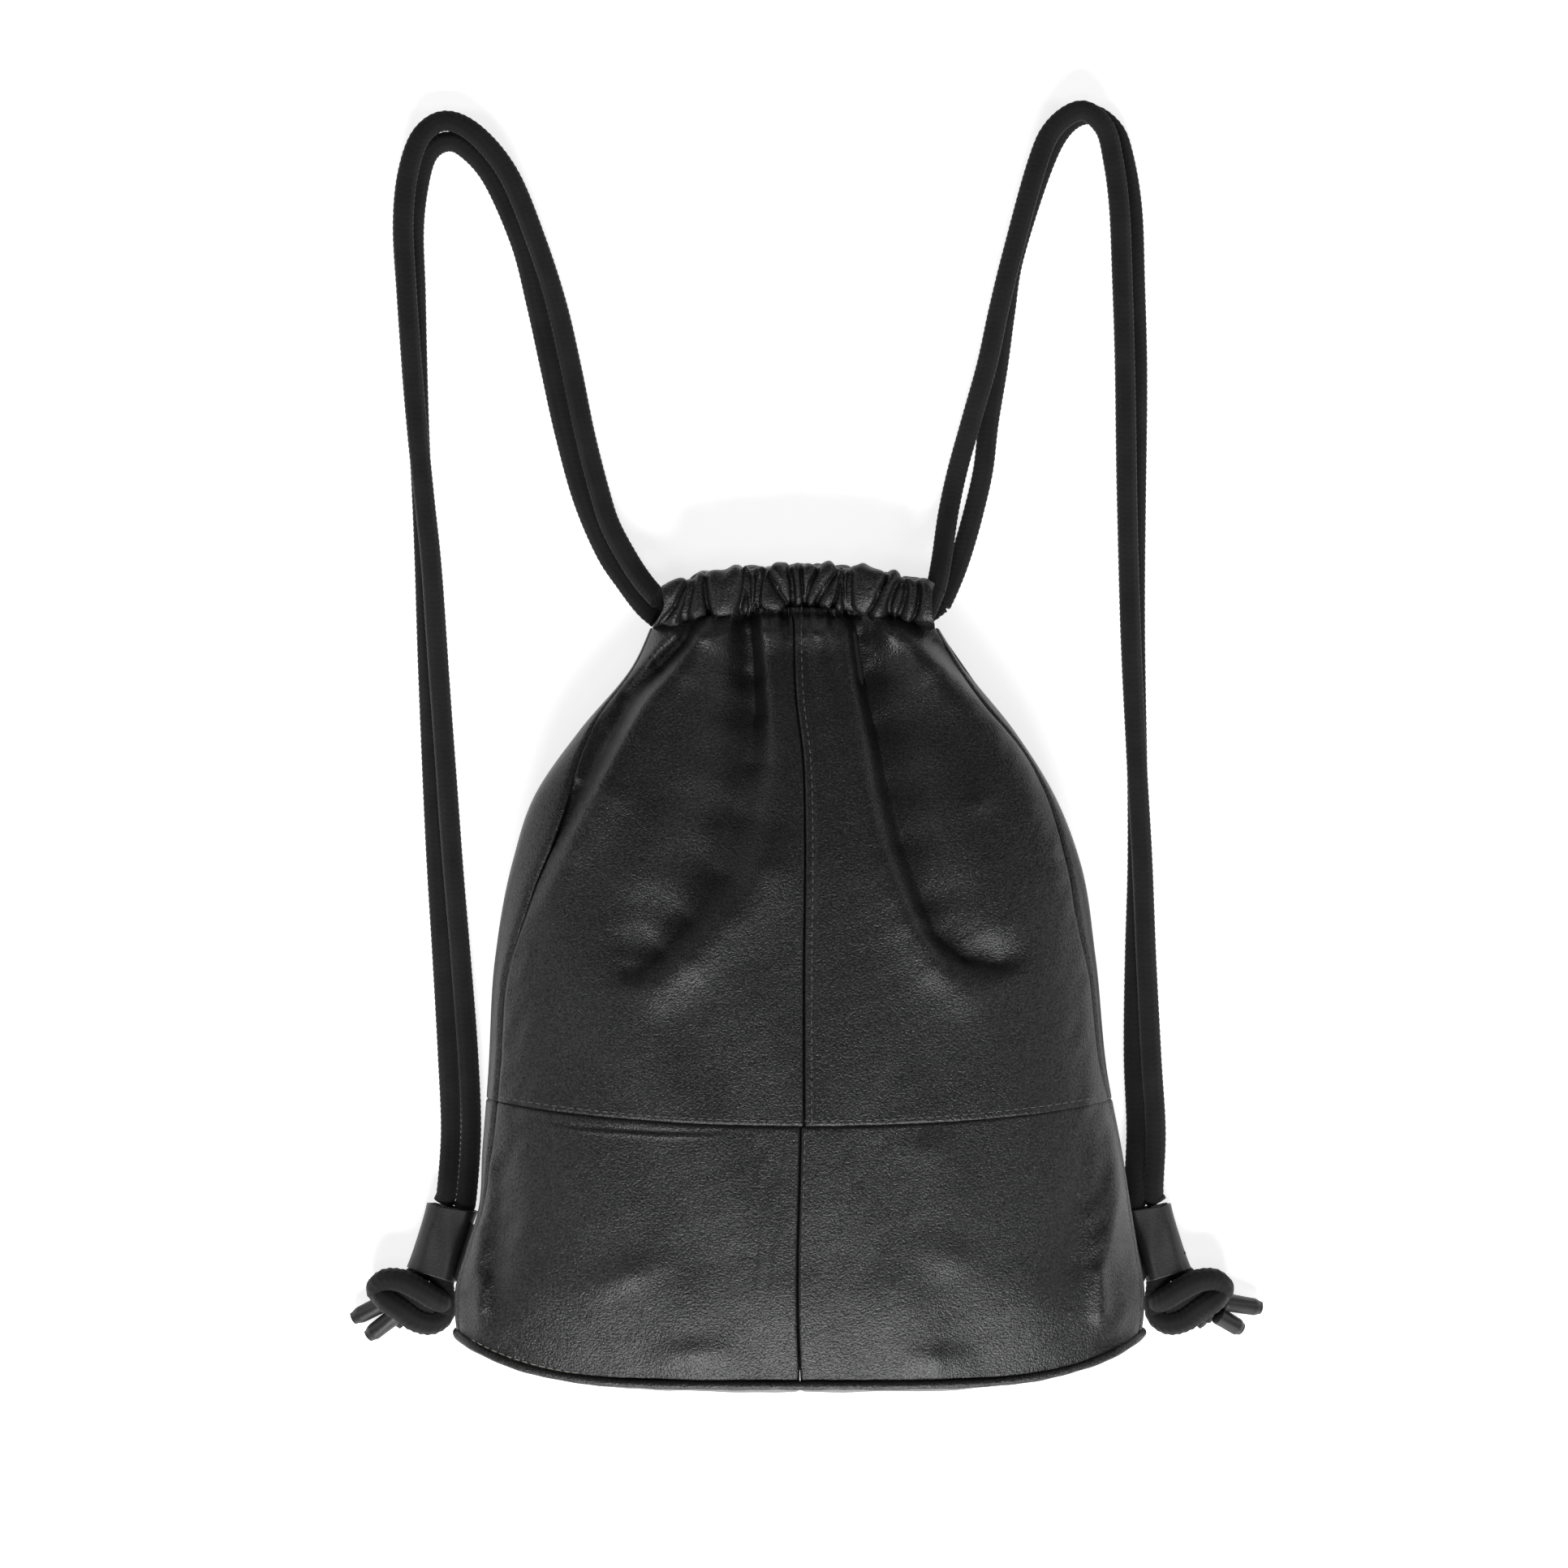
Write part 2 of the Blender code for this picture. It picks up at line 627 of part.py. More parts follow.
def add_tails(side, name, collection):
    """Two rope tails inside the anchor loop, the knot under it and its leather tips."""
    mouth = hinge_line(side)[0]
    down, sideways = loop_frame(side)
    for lane, which in ((1, "outer"), (-1, "inner")):
        centre = mouth + sideways * lane * ROPE_SPACING / 2
        points = [centre + down * (MOUTH_GAP + (LOOP_LENGTH - MOUTH_GAP) * k / 3) for k in range(4)]
        rope_fibre(add_tube(f"{name}_rope_tail_{which}", points, collection))
    bpy.ops.mesh.primitive_uv_sphere_add(segments=16, ring_count=10, radius=1.0)
    knot = bpy.context.object
    knot.name = f"{name}_knot"
    knot.data.name = knot.name
    knot.location = (side * KNOT_PLACE[0], KNOT_PLACE[1], KNOT_PLACE[2])
    knot.scale = KNOT_RADII
    bpy.ops.object.transform_apply(location=False, rotation=False, scale=True)
    knot.data.shade_smooth()
    rope_fibre(knot)
    for user in list(knot.users_collection):
        user.objects.unlink(knot)
    collection.objects.link(knot)
    tips = RIGHT_TIPS if side > 0 else LEFT_TIPS
    for (root, end), which in zip(tips, ("upper", "lower")):
        a = Vector((side * root[0], root[1], TIP_ROOT_Z))
        b = Vector((side * end[0], end[1], TIP_END_Z))
        points = [a.lerp(b, k / 3) for k in range(4)]
        radii = [1 + (TIP_END_RADIUS / TIP_ROOT_RADIUS - 1) * k / 3 for k in range(4)]
        tip = add_tube(f"{name}_rope_tip_{which}", points, collection, TIP_ROOT_RADIUS, radii=radii)
        leather(tip)


def add_straps(collection):
    add_strand("left_strap_strand_back", -1, LEFT_OUTER_STRAND, False, True, None, collection)
    add_strand("left_strap_strand_front", -1, LEFT_INNER_STRAND, True, False,
               LEFT_OUTER_STRAND, collection)
    add_strand("right_strap_strand_back", 1, RIGHT_OUTER_STRAND, False, False, None, collection)
    add_strand("right_strap_strand_front", 1, RIGHT_INNER_STRAND, True, True,
               RIGHT_OUTER_STRAND, collection)


def main():
    clear_scene()
    collection = new_collection("leather_backpack")
    add_bag_panels(collection)
    add_lining(collection)
    add_base(collection)
    add_welt(collection)
    cutters = new_collection("cutters")
    add_casings(collection, cutters)
    for side, name in ((-1, "left"), (1, "right")):
        add_casing_run(f"{name}_rope_casing_run", side, collection)
        add_anchor_loop(f"{name}_anchor_loop", side, collection, cutters)
        add_tails(side, name, collection)
    add_straps(collection)


main()
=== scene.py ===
"""Looks of the leather drawstring backpack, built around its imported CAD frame.

The bag lies on its back: +X to the right, +Y towards the neck, +Z towards the camera. Metres.
"""
import math

import bpy
import numpy as np
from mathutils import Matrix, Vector
from mathutils.bvhtree import BVHTree


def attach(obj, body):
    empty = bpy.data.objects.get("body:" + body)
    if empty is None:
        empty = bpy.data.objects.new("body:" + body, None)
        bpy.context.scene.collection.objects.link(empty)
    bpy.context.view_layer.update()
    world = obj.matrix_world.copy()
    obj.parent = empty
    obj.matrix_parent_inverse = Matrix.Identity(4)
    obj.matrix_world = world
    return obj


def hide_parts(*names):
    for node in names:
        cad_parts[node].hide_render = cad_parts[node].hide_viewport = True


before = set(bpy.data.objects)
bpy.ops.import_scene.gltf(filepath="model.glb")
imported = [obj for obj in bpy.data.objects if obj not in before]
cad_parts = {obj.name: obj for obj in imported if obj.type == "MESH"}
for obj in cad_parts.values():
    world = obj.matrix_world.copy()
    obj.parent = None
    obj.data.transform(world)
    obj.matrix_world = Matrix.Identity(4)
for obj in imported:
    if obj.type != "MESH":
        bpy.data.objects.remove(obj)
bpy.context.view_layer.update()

# ---------------------------------------------------------------- driving sizes
CAMERA_HEIGHT = 2.6
CAMERA_CENTRE = (-0.0084, 0.1)
FRAME_WIDTH = 0.8114
FRAME_PLANE_Z = 0.045
SENSOR = 36.0

# Softboxes: name, place, width and height, power in watts.
LIGHTS = (
    ("key_softbox", (0.05, -1.45, 1.55), (1.2, 0.5), 46.0),
    ("low_softbox", (0.0, -1.75, 0.75), (1.4, 0.4), 14.0),
    ("top_softbox", (0.0, -0.45, 2.5), (0.6, 0.4), 3.0),
    ("left_softbox", (-1.45, 0.25, 0.85), (0.4, 1.4), 5.0),
    ("right_softbox", (1.5, 0.2, 0.8), (0.4, 1.4), 5.0),
    ("high_softbox", (0.0, 1.6, 0.8), (1.4, 0.4), 0.8),
)

LINING_INSET = 0.0065
LINING_BASE_GAP = 0.018
LINING_NECK_GAP = 0.004
LEATHER = 0.0014
CASING_LEATHER = 0.0011
ROPE_RADIUS = 0.005
STACK_SPACING = 0.0113
LANE_SPACING = 0.0108
FLOOR_Z = 0.0051
MOUTH_GAP = 0.0008
LANE_APPROACH = 0.007
STITCH_PITCH = 0.0045
STITCH_LENGTH = 0.0031
STITCH_RADIUS = 0.00036

LOOP_MOUTH = (0.182, -0.1215, 0.014)
LOOP_LEAN = math.radians(17.5)
LOOP_LENGTH = 0.037
LOOP_WIDTH = 0.0232
LOOP_DEPTH = 0.0132
EXIT_MIDDLE = (0.083, 0.193, 0.022)
# Each strand's first points, from the casing's end out on to the floor, before its plan route,
# and how many points of the plan route they stand in for.
NECK_LEADS = {
    "left_strap_strand_front": (1, ((-0.0735, 0.196, 0.026), (-0.0813, 0.2049, 0.02),
                                    (-0.0895, 0.217, 0.014))),
    "left_strap_strand_back": (2, ((-0.0745, 0.1865, 0.018), (-0.0817, 0.193, 0.015),
                                   (-0.0908, 0.2049, 0.01), (-0.1022, 0.222, 0.0065))),
    "right_strap_strand_front": (3, ((0.0705, 0.201, 0.024), (0.0722, 0.2075, 0.0215),
                                     (0.0745, 0.22, 0.016), (0.0778, 0.242, 0.0085))),
    "right_strap_strand_back": (3, ((0.074, 0.1945, 0.015), (0.0778, 0.2025, 0.0122),
                                    (0.0825, 0.214, 0.009), (0.0865, 0.226, 0.0065),
                                    (0.091, 0.242, 0.0053))),
}
CASING_LEADS = ((0.064, 0.031), (0.056, 0.0365))
TUNNEL_X = (0.042, 0.021, 0.0, -0.021, -0.038)
TURN_X = 0.0445
BACK_DESCENT = (0.014, 0.007, 0.0052)
FRONT_DESCENT = (0.019, 0.013, 0.008)

# Strap strands in plan, the same routes as the CAD solids: x, y.
LEFT_OUTER_STRAND = (
    (-0.0985, 0.212), (-0.1068, 0.23), (-0.1142, 0.25), (-0.1235, 0.284), (-0.131, 0.318),
    (-0.1385, 0.352), (-0.1468, 0.3845), (-0.1615, 0.418), (-0.1755, 0.434), (-0.186, 0.4375),
    (-0.1955, 0.431), (-0.2005, 0.414), (-0.203, 0.39), (-0.202, 0.358), (-0.201, 0.316),
    (-0.2, 0.281), (-0.1985, 0.248), (-0.1972, 0.214), (-0.1955, 0.163), (-0.1935, 0.111),
    (-0.191, 0.06), (-0.188, 0.009), (-0.185, -0.043), (-0.1835, -0.082),
)
LEFT_INNER_STRAND = (
    (-0.0895, 0.218), (-0.0992, 0.235), (-0.1048, 0.252), (-0.113, 0.284), (-0.12, 0.318),
    (-0.1278, 0.352), (-0.1388, 0.386), (-0.1528, 0.4195), (-0.17, 0.4405), (-0.186, 0.448),
    (-0.1985, 0.4395), (-0.2055, 0.419), (-0.2078, 0.392), (-0.206, 0.358), (-0.203, 0.316),
    (-0.2, 0.282), (-0.1965, 0.248), (-0.193, 0.214), (-0.1895, 0.163), (-0.1858, 0.111),
    (-0.1822, 0.06), (-0.178, 0.009), (-0.1742, -0.043), (-0.1727, -0.082),
)
RIGHT_INNER_STRAND = (
    (0.076, 0.22), (0.0765, 0.231), (0.078, 0.243), (0.0827, 0.2646), (0.0897, 0.2902),
    (0.098, 0.32), (0.104, 0.348), (0.111, 0.377), (0.124, 0.424), (0.133, 0.4435),
    (0.1473, 0.4524), (0.1592, 0.4437), (0.164, 0.4266), (0.1673, 0.401), (0.1688, 0.364),
    (0.1702, 0.317), (0.1712, 0.248), (0.173, 0.18), (0.1762, 0.111), (0.179, 0.06),
    (0.1812, 0.009), (0.184, -0.043), (0.1865, -0.082),
)
RIGHT_OUTER_STRAND = (
    (0.095, 0.2105), (0.0935, 0.225), (0.0935, 0.242), (0.0962, 0.2646), (0.0992, 0.2902),
    (0.104, 0.32), (0.1078, 0.348), (0.1125, 0.377), (0.127, 0.423), (0.1385, 0.445),
    (0.152, 0.452), (0.1645, 0.444), (0.1702, 0.429), (0.1745, 0.402), (0.176, 0.364),
    (0.1772, 0.317), (0.1765, 0.248), (0.176, 0.18), (0.1772, 0.111), (0.1775, 0.06),
    (0.176, 0.009), (0.1755, -0.043), (0.1768, -0.082),
)

# Bag body across its height: y, left half width, right half width, thickness, edge height.
SECTIONS = (
    (-0.21, 0.172, 0.172, 0.088, 0.043),
    (-0.184, 0.1775, 0.1765, 0.092, 0.044),
    (-0.162, 0.1785, 0.178, 0.094, 0.044),
    (-0.14, 0.1725, 0.1745, 0.094, 0.043),
    (-0.12, 0.1665, 0.1712, 0.094, 0.043),
    (-0.09, 0.1645, 0.1665, 0.093, 0.042),
    (-0.05, 0.1615, 0.159, 0.091, 0.041),
    (0.01, 0.158, 0.153, 0.087, 0.04),
    (0.06, 0.149, 0.145, 0.082, 0.038),
    (0.094, 0.1378, 0.132, 0.076, 0.036),
    (0.128, 0.1145, 0.111, 0.068, 0.032),
    (0.161, 0.087, 0.0855, 0.058, 0.027),
    (0.188, 0.0745, 0.069, 0.048, 0.022),
)
FRONT_ROUNDNESS = 2.5
BACK_FLAT = 0.72
BACK_CORNER = 0.35
SIDE_SEAM = math.radians(18)
NECK_Y = 0.1885
NECK_DIP = 0.008
SEAM_SIDE_Y = -0.062
SEAM_MIDDLE_Y = -0.0735
BASE_SIDE_Y = -0.183
BASE_MIDDLE_Y = -0.2055
BASE_CORNER_POWER = 5
BASE_BULGE = 0.006
# Depth and half width of the grooves that the seams draw in the leather.
CENTRE_GROOVE = (0.001, 0.0007)
SIDE_GROOVE = (0.0013, 0.0016)
WELT_RADIUS = 0.0023

# Sideways wander of the centre seam: y, x.
UPPER_SEAM = ((-0.072, 0.0019), (0.007, 0.0019), (0.071, 0.0025), (0.115, 0.0013),
              (0.144, -0.0021), (0.19, -0.0034))
LOWER_SEAM = ((-0.21, 0.0), (-0.175, -0.0013), (-0.073, 0.0))

# Side seams: y, and how far out each seam lies as a share of the half width, left and right.
SIDE_SEAMS = (
    (-0.2, 0.99, 0.99), (-0.12, 0.988, 0.992), (-0.08, 0.968, 0.996), (-0.045, 0.962, 0.98),
    (0.005, 0.951, 0.97), (0.035, 0.915, 0.948), (0.055, 0.893, 0.95), (0.071, 0.872, 0.955),
    (0.092, 0.868, 0.968), (0.12, 0.93, 0.975), (0.14, 0.972, 0.95), (0.16, 0.985, 0.965),
    (0.19, 0.985, 0.985),
)

# Folds of the front panels in millimetres. Each is a line of points: x, y, height (a valley is
# negative), and the width to its left and to its right, looking along the line.
FOLDS = (
    ((-25.4, 194, -5, 6, 3.5), (-22.8, 177, -9, 10, 3.5), (-22, 155, -11, 16, 4.5),
     (-23.5, 136, -10.5, 22, 6), (-29.5, 112, -9, 26, 10), (-38, 86, -8.4, 27, 14.5),
     (-49, 58, -8, 25, 14), (-62, 34, -7, 21, 10.5), (-74, 17, -5.4, 16, 7.5), (-82, 7, -3, 11, 5.5),
     (-88, 1, 0, 8, 5)),
    ((28.6, 194, -5, 3.5, 7), (31.8, 177, -9, 3.5, 12), (35.1, 155, -11, 4, 19),
     (39.4, 129, -10.5, 4.5, 26), (44.8, 99, -9, 6, 28), (52.4, 71, -8, 7, 26), (63.2, 41, -7.4, 6.5, 24),
     (71.5, 22, -6.4, 5, 21), (84, 12, -5.2, 4.5, 17), (100, 9, -3.6, 5, 13), (114, 12, 0, 6, 9)),
    ((-44, 192, 0, 6, 7), (-50, 176, 4, 6, 9), (-62, 160, 5, 6, 11), (-76, 146, 4.8, 6, 13),
     (-88, 127, 4.4, 6, 15), (-102.5, 99, 4, 7, 16), (-119.4, 69, 3.2, 7, 15), (-134.5, 36, 1.2, 7, 12),
     (-145, 15, 0, 7, 10)),
    ((-50.5, 188, -2, 4, 3), (-59, 174, -4, 5, 3.5), (-72, 160, -5.5, 6, 4), (-87, 144, -6, 7, 4.5),
     (-99, 124, -6, 8, 5), (-113, 98, -5.2, 8, 5), (-125.5, 70, -4, 7, 5), (-136, 45, -2, 6, 5),
     (-144, 20, 0, 5, 5)),
    ((40, 190, 0, 7, 6), (50, 178, 4, 9, 6), (70.8, 162, 5.5, 12, 6.5), (85, 148, 5.2, 14, 6.5),
     (102, 132, 4.4, 15, 6.5), (114, 114, 3.6, 15, 7), (124.8, 90, 3, 15, 7), (135.6, 58, 2, 14, 7),
     (144, 26, 0, 12, 7)),
    ((56, 186, -2, 3, 4), (70, 174, -4.4, 3.5, 5), (85, 160, -4.6, 4, 5), (99, 145, -4, 4, 5),
     (112, 128, -3.4, 4.5, 5), (123, 108, -2.8, 4.5, 5), (133, 82, -1.6, 5, 5), (142, 50, 0, 5, 5)),
    ((-56, 184, 0, 4, 4), (-64, 177, 3, 4.5, 4), (-78, 165, 3.4, 5, 4), (-90, 153, 2.4, 5, 4),
     (-100, 140, 0, 5, 4)),
    ((-110, 116, 0, 3.5, 3.5), (-116, 104, 1.6, 3.5, 3.5), (-123, 90, 0, 3.5, 3.5)),
    ((-17.8, 190, 0, 6, 6), (-17, 178, 3, 6.5, 7), (-16, 165, 0.8, 8, 8), (-15, 140, 0, 9, 9)),
    ((10, 190, 0, 6, 6), (12, 178, 3, 7, 8), (16, 162, 2, 9, 8), (22, 130, 1.6, 12, 9),
     (30, 95, 1.2, 14, 8), (42, 60, 1.4, 14, 6), (56, 30, 2, 12, 5), (69, 8, 2.2, 11, 6),
     (85, -4, 1.4, 13, 7), (105, -8, 0, 14, 8)),
    ((-10, 80, 0, 10, 16), (-23, 56, 1.6, 8, 15), (-40, 32, 2.2, 6.5, 15), (-58, 10, 2.4, 6, 13),
     (-74, -3, 1.8, 6, 12), (-90, -10, 0, 7, 11)),
    ((-3, 188, 0, 2, 2), (-4, 182, -1.2, 2.5, 2.5), (-4, 174, 0, 3, 3)),
    ((17, 190, -1.6, 2, 2), (19, 183, -1.6, 2.5, 2.5), (21, 174, 0, 3, 3)),
    ((-16, 190, -1.2, 1.8, 1.8), (-17, 184, 0, 2.2, 2.2)),
    ((45.5, 190, -1.8, 2.2, 2.2), (50, 181, -1.2, 2.8, 2.8), (56, 172, 0, 3, 3)),
    ((-38.5, 191, -1.6, 2.2, 2.2), (-41, 182, -1, 2.8, 2.8), (-45, 174, 0, 3, 3)),
    ((82, 94, 0, 10, 10), (92, 91, 1, 6, 5), (103, 94, 0, 6, 5)),
    ((-154.9, -70, 0, 6, 8), (-153, -98, -3, 6, 8), (-153.5, -125, -4, 6, 8), (-157, -150, -3.4, 6, 8),
     (-154, -178, 0, 6, 8)),
    ((-168, -112, 0, 6, 5), (-168, -130, 2.6, 6, 5), (-166, -150, 1.4, 6, 6), (-164, -168, 2.6, 6, 6),
     (-160, -184, 0, 6, 6)),
    ((160, -68, 0, 5, 4), (163.5, -90, 2.2, 6, 4), (164, -106, 3, 6, 4), (159, -130, 3.4, 5.5, 4),
     (153.5, -149, 3, 5, 4), (154.5, -170, 2.4, 6, 4.5), (164, -184, 0, 6, 5)),
    ((147.5, -84, 0, 9, 8), (142, -115, -2.2, 10, 8), (138, -145, -2, 10, 8), (136.7, -170, 0, 10, 8)),
    ((169, -118, 0, 5, 5), (170, -138, -3.4, 6, 6), (168, -158, -1.6, 6, 6), (169, -172, 0, 6, 6)),
    ((44, -84, 0, 8, 8), (64, -87, 0.5, 8, 8), (82, -84, 0, 8, 8)),
    ((-62, -141, 0, 10, 8), (-88, -150, 1.3, 10, 8), (-116, -160, 0, 10, 8)),
    ((50, -136, 0, 10, 10), (77, -141, 1.2, 10, 10), (100, -150, 0, 10, 10)),
    ((-30, -188, 0, 6, 6), (-55, -190, 1.2, 7, 7), (-80, -190, 0, 6, 6)),
    ((50, -192, 0, 6, 6), (70, -193, 1.4, 7, 7), (90, -192, 0, 6, 6)),
    ((-140, -73.5, 0, 1.1, 1.1), (-115, -76.5, 0.3, 1.1, 1.1), (-72, -79, 0.4, 1.2, 1.2),
     (-35, -79, 0, 1.1, 1.1)),
    ((-142, -70, 0, 1.2, 1.2), (-115, -74.5, -0.3, 1.2, 1.2), (-72, -76.8, -0.4, 1.2, 1.2),
     (-35, -77, 0, 1.2, 1.2)),
)
MILLIMETRE = 0.001
# The higher this power, the less neighbouring stretches of one fold add up where they meet.
FOLD_BLEND = 8
FOLD_STRENGTH = 1.42
# How far the casing's gathers run down the front panel, and how wide they open there.
GATHER_FADE = 0.011
GATHER_SPREAD = 1.5
# The front panel's swelling just below the casing: height, distance below it, half its reach.
NECK_SWELL = 0.0035
NECK_SWELL_DROP = 0.009
NECK_SWELL_REACH = 0.008

# Casing valleys between its gathers, front and back: x, depth, half width, lean.
FRONT_PLEATS = (
    (-0.064, 0.002, 0.002, 0.35), (-0.0571, 0.005, 0.0022, 0.1), (-0.0485, 0.0028, 0.0014, -0.05),
    (-0.03, 0.0032, 0.0012, 0.1), (-0.0268, 0.0034, 0.001, 0.05), (-0.0238, 0.0034, 0.001, 0.0),
    (-0.0205, 0.0044, 0.0012, 0.12), (-0.012, 0.0018, 0.0014, -0.35), (-0.005, 0.0046, 0.0014, 0.0),
    (0.0015, 0.0024, 0.001, -0.1), (0.006, 0.0022, 0.001, 0.25), (0.013, 0.0024, 0.0012, 0.45),
    (0.019, 0.0026, 0.001, 0.1), (0.0225, 0.0034, 0.001, -0.05), (0.0262, 0.0048, 0.0016, -0.1),
    (0.04, 0.0016, 0.0012, 0.35), (0.049, 0.0036, 0.0014, 0.3), (0.053, 0.0036, 0.0012, 0.15),
    (0.06, 0.0026, 0.0014, 0.05),
)
BACK_PLEATS = (
    (-0.059, 0.0026, 0.0018, 0.0), (-0.045, 0.0034, 0.0017, 0.1), (-0.034, 0.003, 0.0015, -0.1),
    (-0.021, 0.0036, 0.0018, 0.1), (-0.009, 0.003, 0.0015, 0.0), (0.004, 0.0034, 0.0017, 0.1),
    (0.016, 0.003, 0.0016, -0.1), (0.028, 0.0036, 0.0018, 0.0), (0.04, 0.003, 0.0015, 0.1),
    (0.053, 0.0034, 0.0018, 0.0),
)
CASING_HALF = 0.069
CASING_HEIGHT = 0.0268
CASING_DEPTH = 0.015
CASING_Y = 0.2012
CASING_FRONT_Z = 0.0376
CASING_BACK_Z = 0.009
# A gather stands up by this share of its half width, and never by more than the limit.
LUMP_SHARE = 0.6
LUMP_LIMIT = 0.004
# Least half height and half depth of a tunnel, so that the two rope runs inside it fit.
ROPE_ROOM = (0.0116, 0.006)


# ---------------------------------------------------------------- camera and stage
def add_camera():
    data = bpy.data.cameras.new("camera")
    data.sensor_width = SENSOR
    data.lens = SENSOR * (CAMERA_HEIGHT - FRAME_PLANE_Z) / FRAME_WIDTH
    camera = bpy.data.objects.new("camera", data)
    camera.location = (*CAMERA_CENTRE, CAMERA_HEIGHT)
    bpy.context.scene.collection.objects.link(camera)
    bpy.context.scene.camera = camera


def add_area_light(name, place, aim, size, power):
    data = bpy.data.lights.new(name, "AREA")
    data.shape = "RECTANGLE"
    data.size = size[0]
    data.size_y = size[1]
    data.energy = power
    light = bpy.data.objects.new(name, data)
    light.location = place
    light.rotation_euler = (Vector(aim) - Vector(place)).to_track_quat("-Z", "Y").to_euler()
    bpy.context.scene.collection.objects.link(light)


def floor_material():
    """White ground that glows faintly, so that only soft contact shadows show on it."""
    material, _, shader = new_material("floor_white")
    shader.inputs["Base Color"].default_value = (0.78, 0.78, 0.78, 1.0)
    shader.inputs["Roughness"].default_value = 0.9
    shader.inputs["Emission Color"].default_value = (1.0, 1.0, 1.0, 1.0)
    shader.inputs["Emission Strength"].default_value = 0.74
    return material


def add_stage():
    bpy.ops.mesh.primitive_plane_add(size=12.0, location=(0.0, 0.0, -0.0004))
    floor = bpy.context.object
    floor.name = "floor"
    floor.data.materials.append(floor_material())
    world = bpy.data.worlds.new("world")
    world.use_nodes = True
    world.node_tree.nodes["Background"].inputs["Color"].default_value = (1.0, 1.0, 1.0, 1.0)
    world.node_tree.nodes["Background"].inputs["Strength"].default_value = 0.06
    bpy.context.scene.world = world
    for name, place, size, power in LIGHTS:
        add_area_light(name, place, (0.0, 0.0, 0.05), size, power)
    bpy.context.scene.view_settings.view_transform = "Standard"


# ---------------------------------------------------------------- materials
def new_material(name):
    material = bpy.data.materials.new(name)
    material.use_nodes = True
    return material, material.node_tree, material.node_tree.nodes["Principled BSDF"]


def plain_material(name, colour, roughness):
    material, _, shader = new_material(name)
    shader.inputs["Base Color"].default_value = (*colour, 1.0)
    shader.inputs["Roughness"].default_value = roughness
    return material


def add_node(tree, kind, **values):
    node = tree.nodes.new(kind)
    for key, value in values.items():
        if key in node.inputs:
            node.inputs[key].default_value = value
        else:
            setattr(node, key, value)
    return node


def ramp(tree, source, low, high, start=0.0, end=1.0):
    """Map a grey value between two colours or values."""
    node = tree.nodes.new("ShaderNodeValToRGB")
    node.color_ramp.elements[0].position = start
    node.color_ramp.elements[1].position = end
    node.color_ramp.elements[0].color = (*low, 1.0)
    node.color_ramp.elements[1].color = (*high, 1.0)
    tree.links.new(source, node.inputs["Fac"])
    return node.outputs["Color"]


def leather_material(name, dark, light, rough, grain=0.45, cell=1000.0):
    """Satin leather: pebble grain, faint creases, and small changes of colour and gloss."""
    material, tree, shader = new_material(name)
    place = tree.nodes.new("ShaderNodeTexCoord").outputs["Object"]
    pebble = add_node(tree, "ShaderNodeTexVoronoi", Scale=cell)
    pebble.feature = "DISTANCE_TO_EDGE"
    pores = add_node(tree, "ShaderNodeTexNoise", Scale=cell, Detail=2.0, Roughness=0.6)
    crease = add_node(tree, "ShaderNodeTexNoise", Scale=170.0, Detail=6.0, Roughness=0.65)
    cloud = add_node(tree, "ShaderNodeTexNoise", Scale=12.0, Detail=4.0)
    for node in (pebble, pores, crease, cloud):
        tree.links.new(place, node.inputs["Vector"])
    tree.links.new(ramp(tree, cloud.outputs["Fac"], dark, light, 0.35, 0.7), shader.inputs["Base Color"])
    gloss = ramp(tree, pores.outputs["Fac"], (rough - 0.08,) * 3, (rough + 0.08,) * 3, 0.3, 0.7)
    tree.links.new(gloss, shader.inputs["Roughness"])
    bumps = None
    for source, strength, distance in ((crease.outputs["Fac"], 0.16, 0.0007),
                                       (pebble.outputs["Distance"], grain, 0.0003),
                                       (pores.outputs["Fac"], grain, 0.0009)):
        bump = add_node(tree, "ShaderNodeBump", Strength=strength, Distance=distance)
        tree.links.new(source, bump.inputs["Height"])
        if bumps:
            tree.links.new(bumps.outputs["Normal"], bump.inputs["Normal"])
        bumps = bump
    tree.links.new(bumps.outputs["Normal"], shader.inputs["Normal"])
    shine_change = 0.45 * grain
    shine = ramp(tree, pores.outputs["Fac"], (0.5 - shine_change,) * 3, (0.5 + shine_change,) * 3,
                 0.3, 0.7)
    tree.links.new(shine, shader.inputs["Specular IOR Level"])
    return material


def rope_material(name):
    """Matte knitted cotton: fine yarn fuzz over the modelled braid."""
    material, tree, shader = new_material(name)
    place = tree.nodes.new("ShaderNodeTexCoord").outputs["Object"]
    fuzz = add_node(tree, "ShaderNodeTexNoise", Scale=1500.0, Detail=4.0)
    cloud = add_node(tree, "ShaderNodeTexNoise", Scale=60.0, Detail=3.0)
    for node in (fuzz, cloud):
        tree.links.new(place, node.inputs["Vector"])
    colour = ramp(tree, cloud.outputs["Fac"], (0.0085, 0.0085, 0.009), (0.014, 0.014, 0.0145), 0.3, 0.7)
    tree.links.new(colour, shader.inputs["Base Color"])
    bump = add_node(tree, "ShaderNodeBump", Strength=0.5, Distance=0.0005)
    tree.links.new(fuzz.outputs["Fac"], bump.inputs["Height"])
    tree.links.new(bump.outputs["Normal"], shader.inputs["Normal"])
    shader.inputs["Roughness"].default_value = 0.95
    shader.inputs["Specular IOR Level"].default_value = 0.25
    shader.inputs["Sheen Weight"].default_value = 0.1
    shader.inputs["Sheen Roughness"].default_value = 0.5
    return material


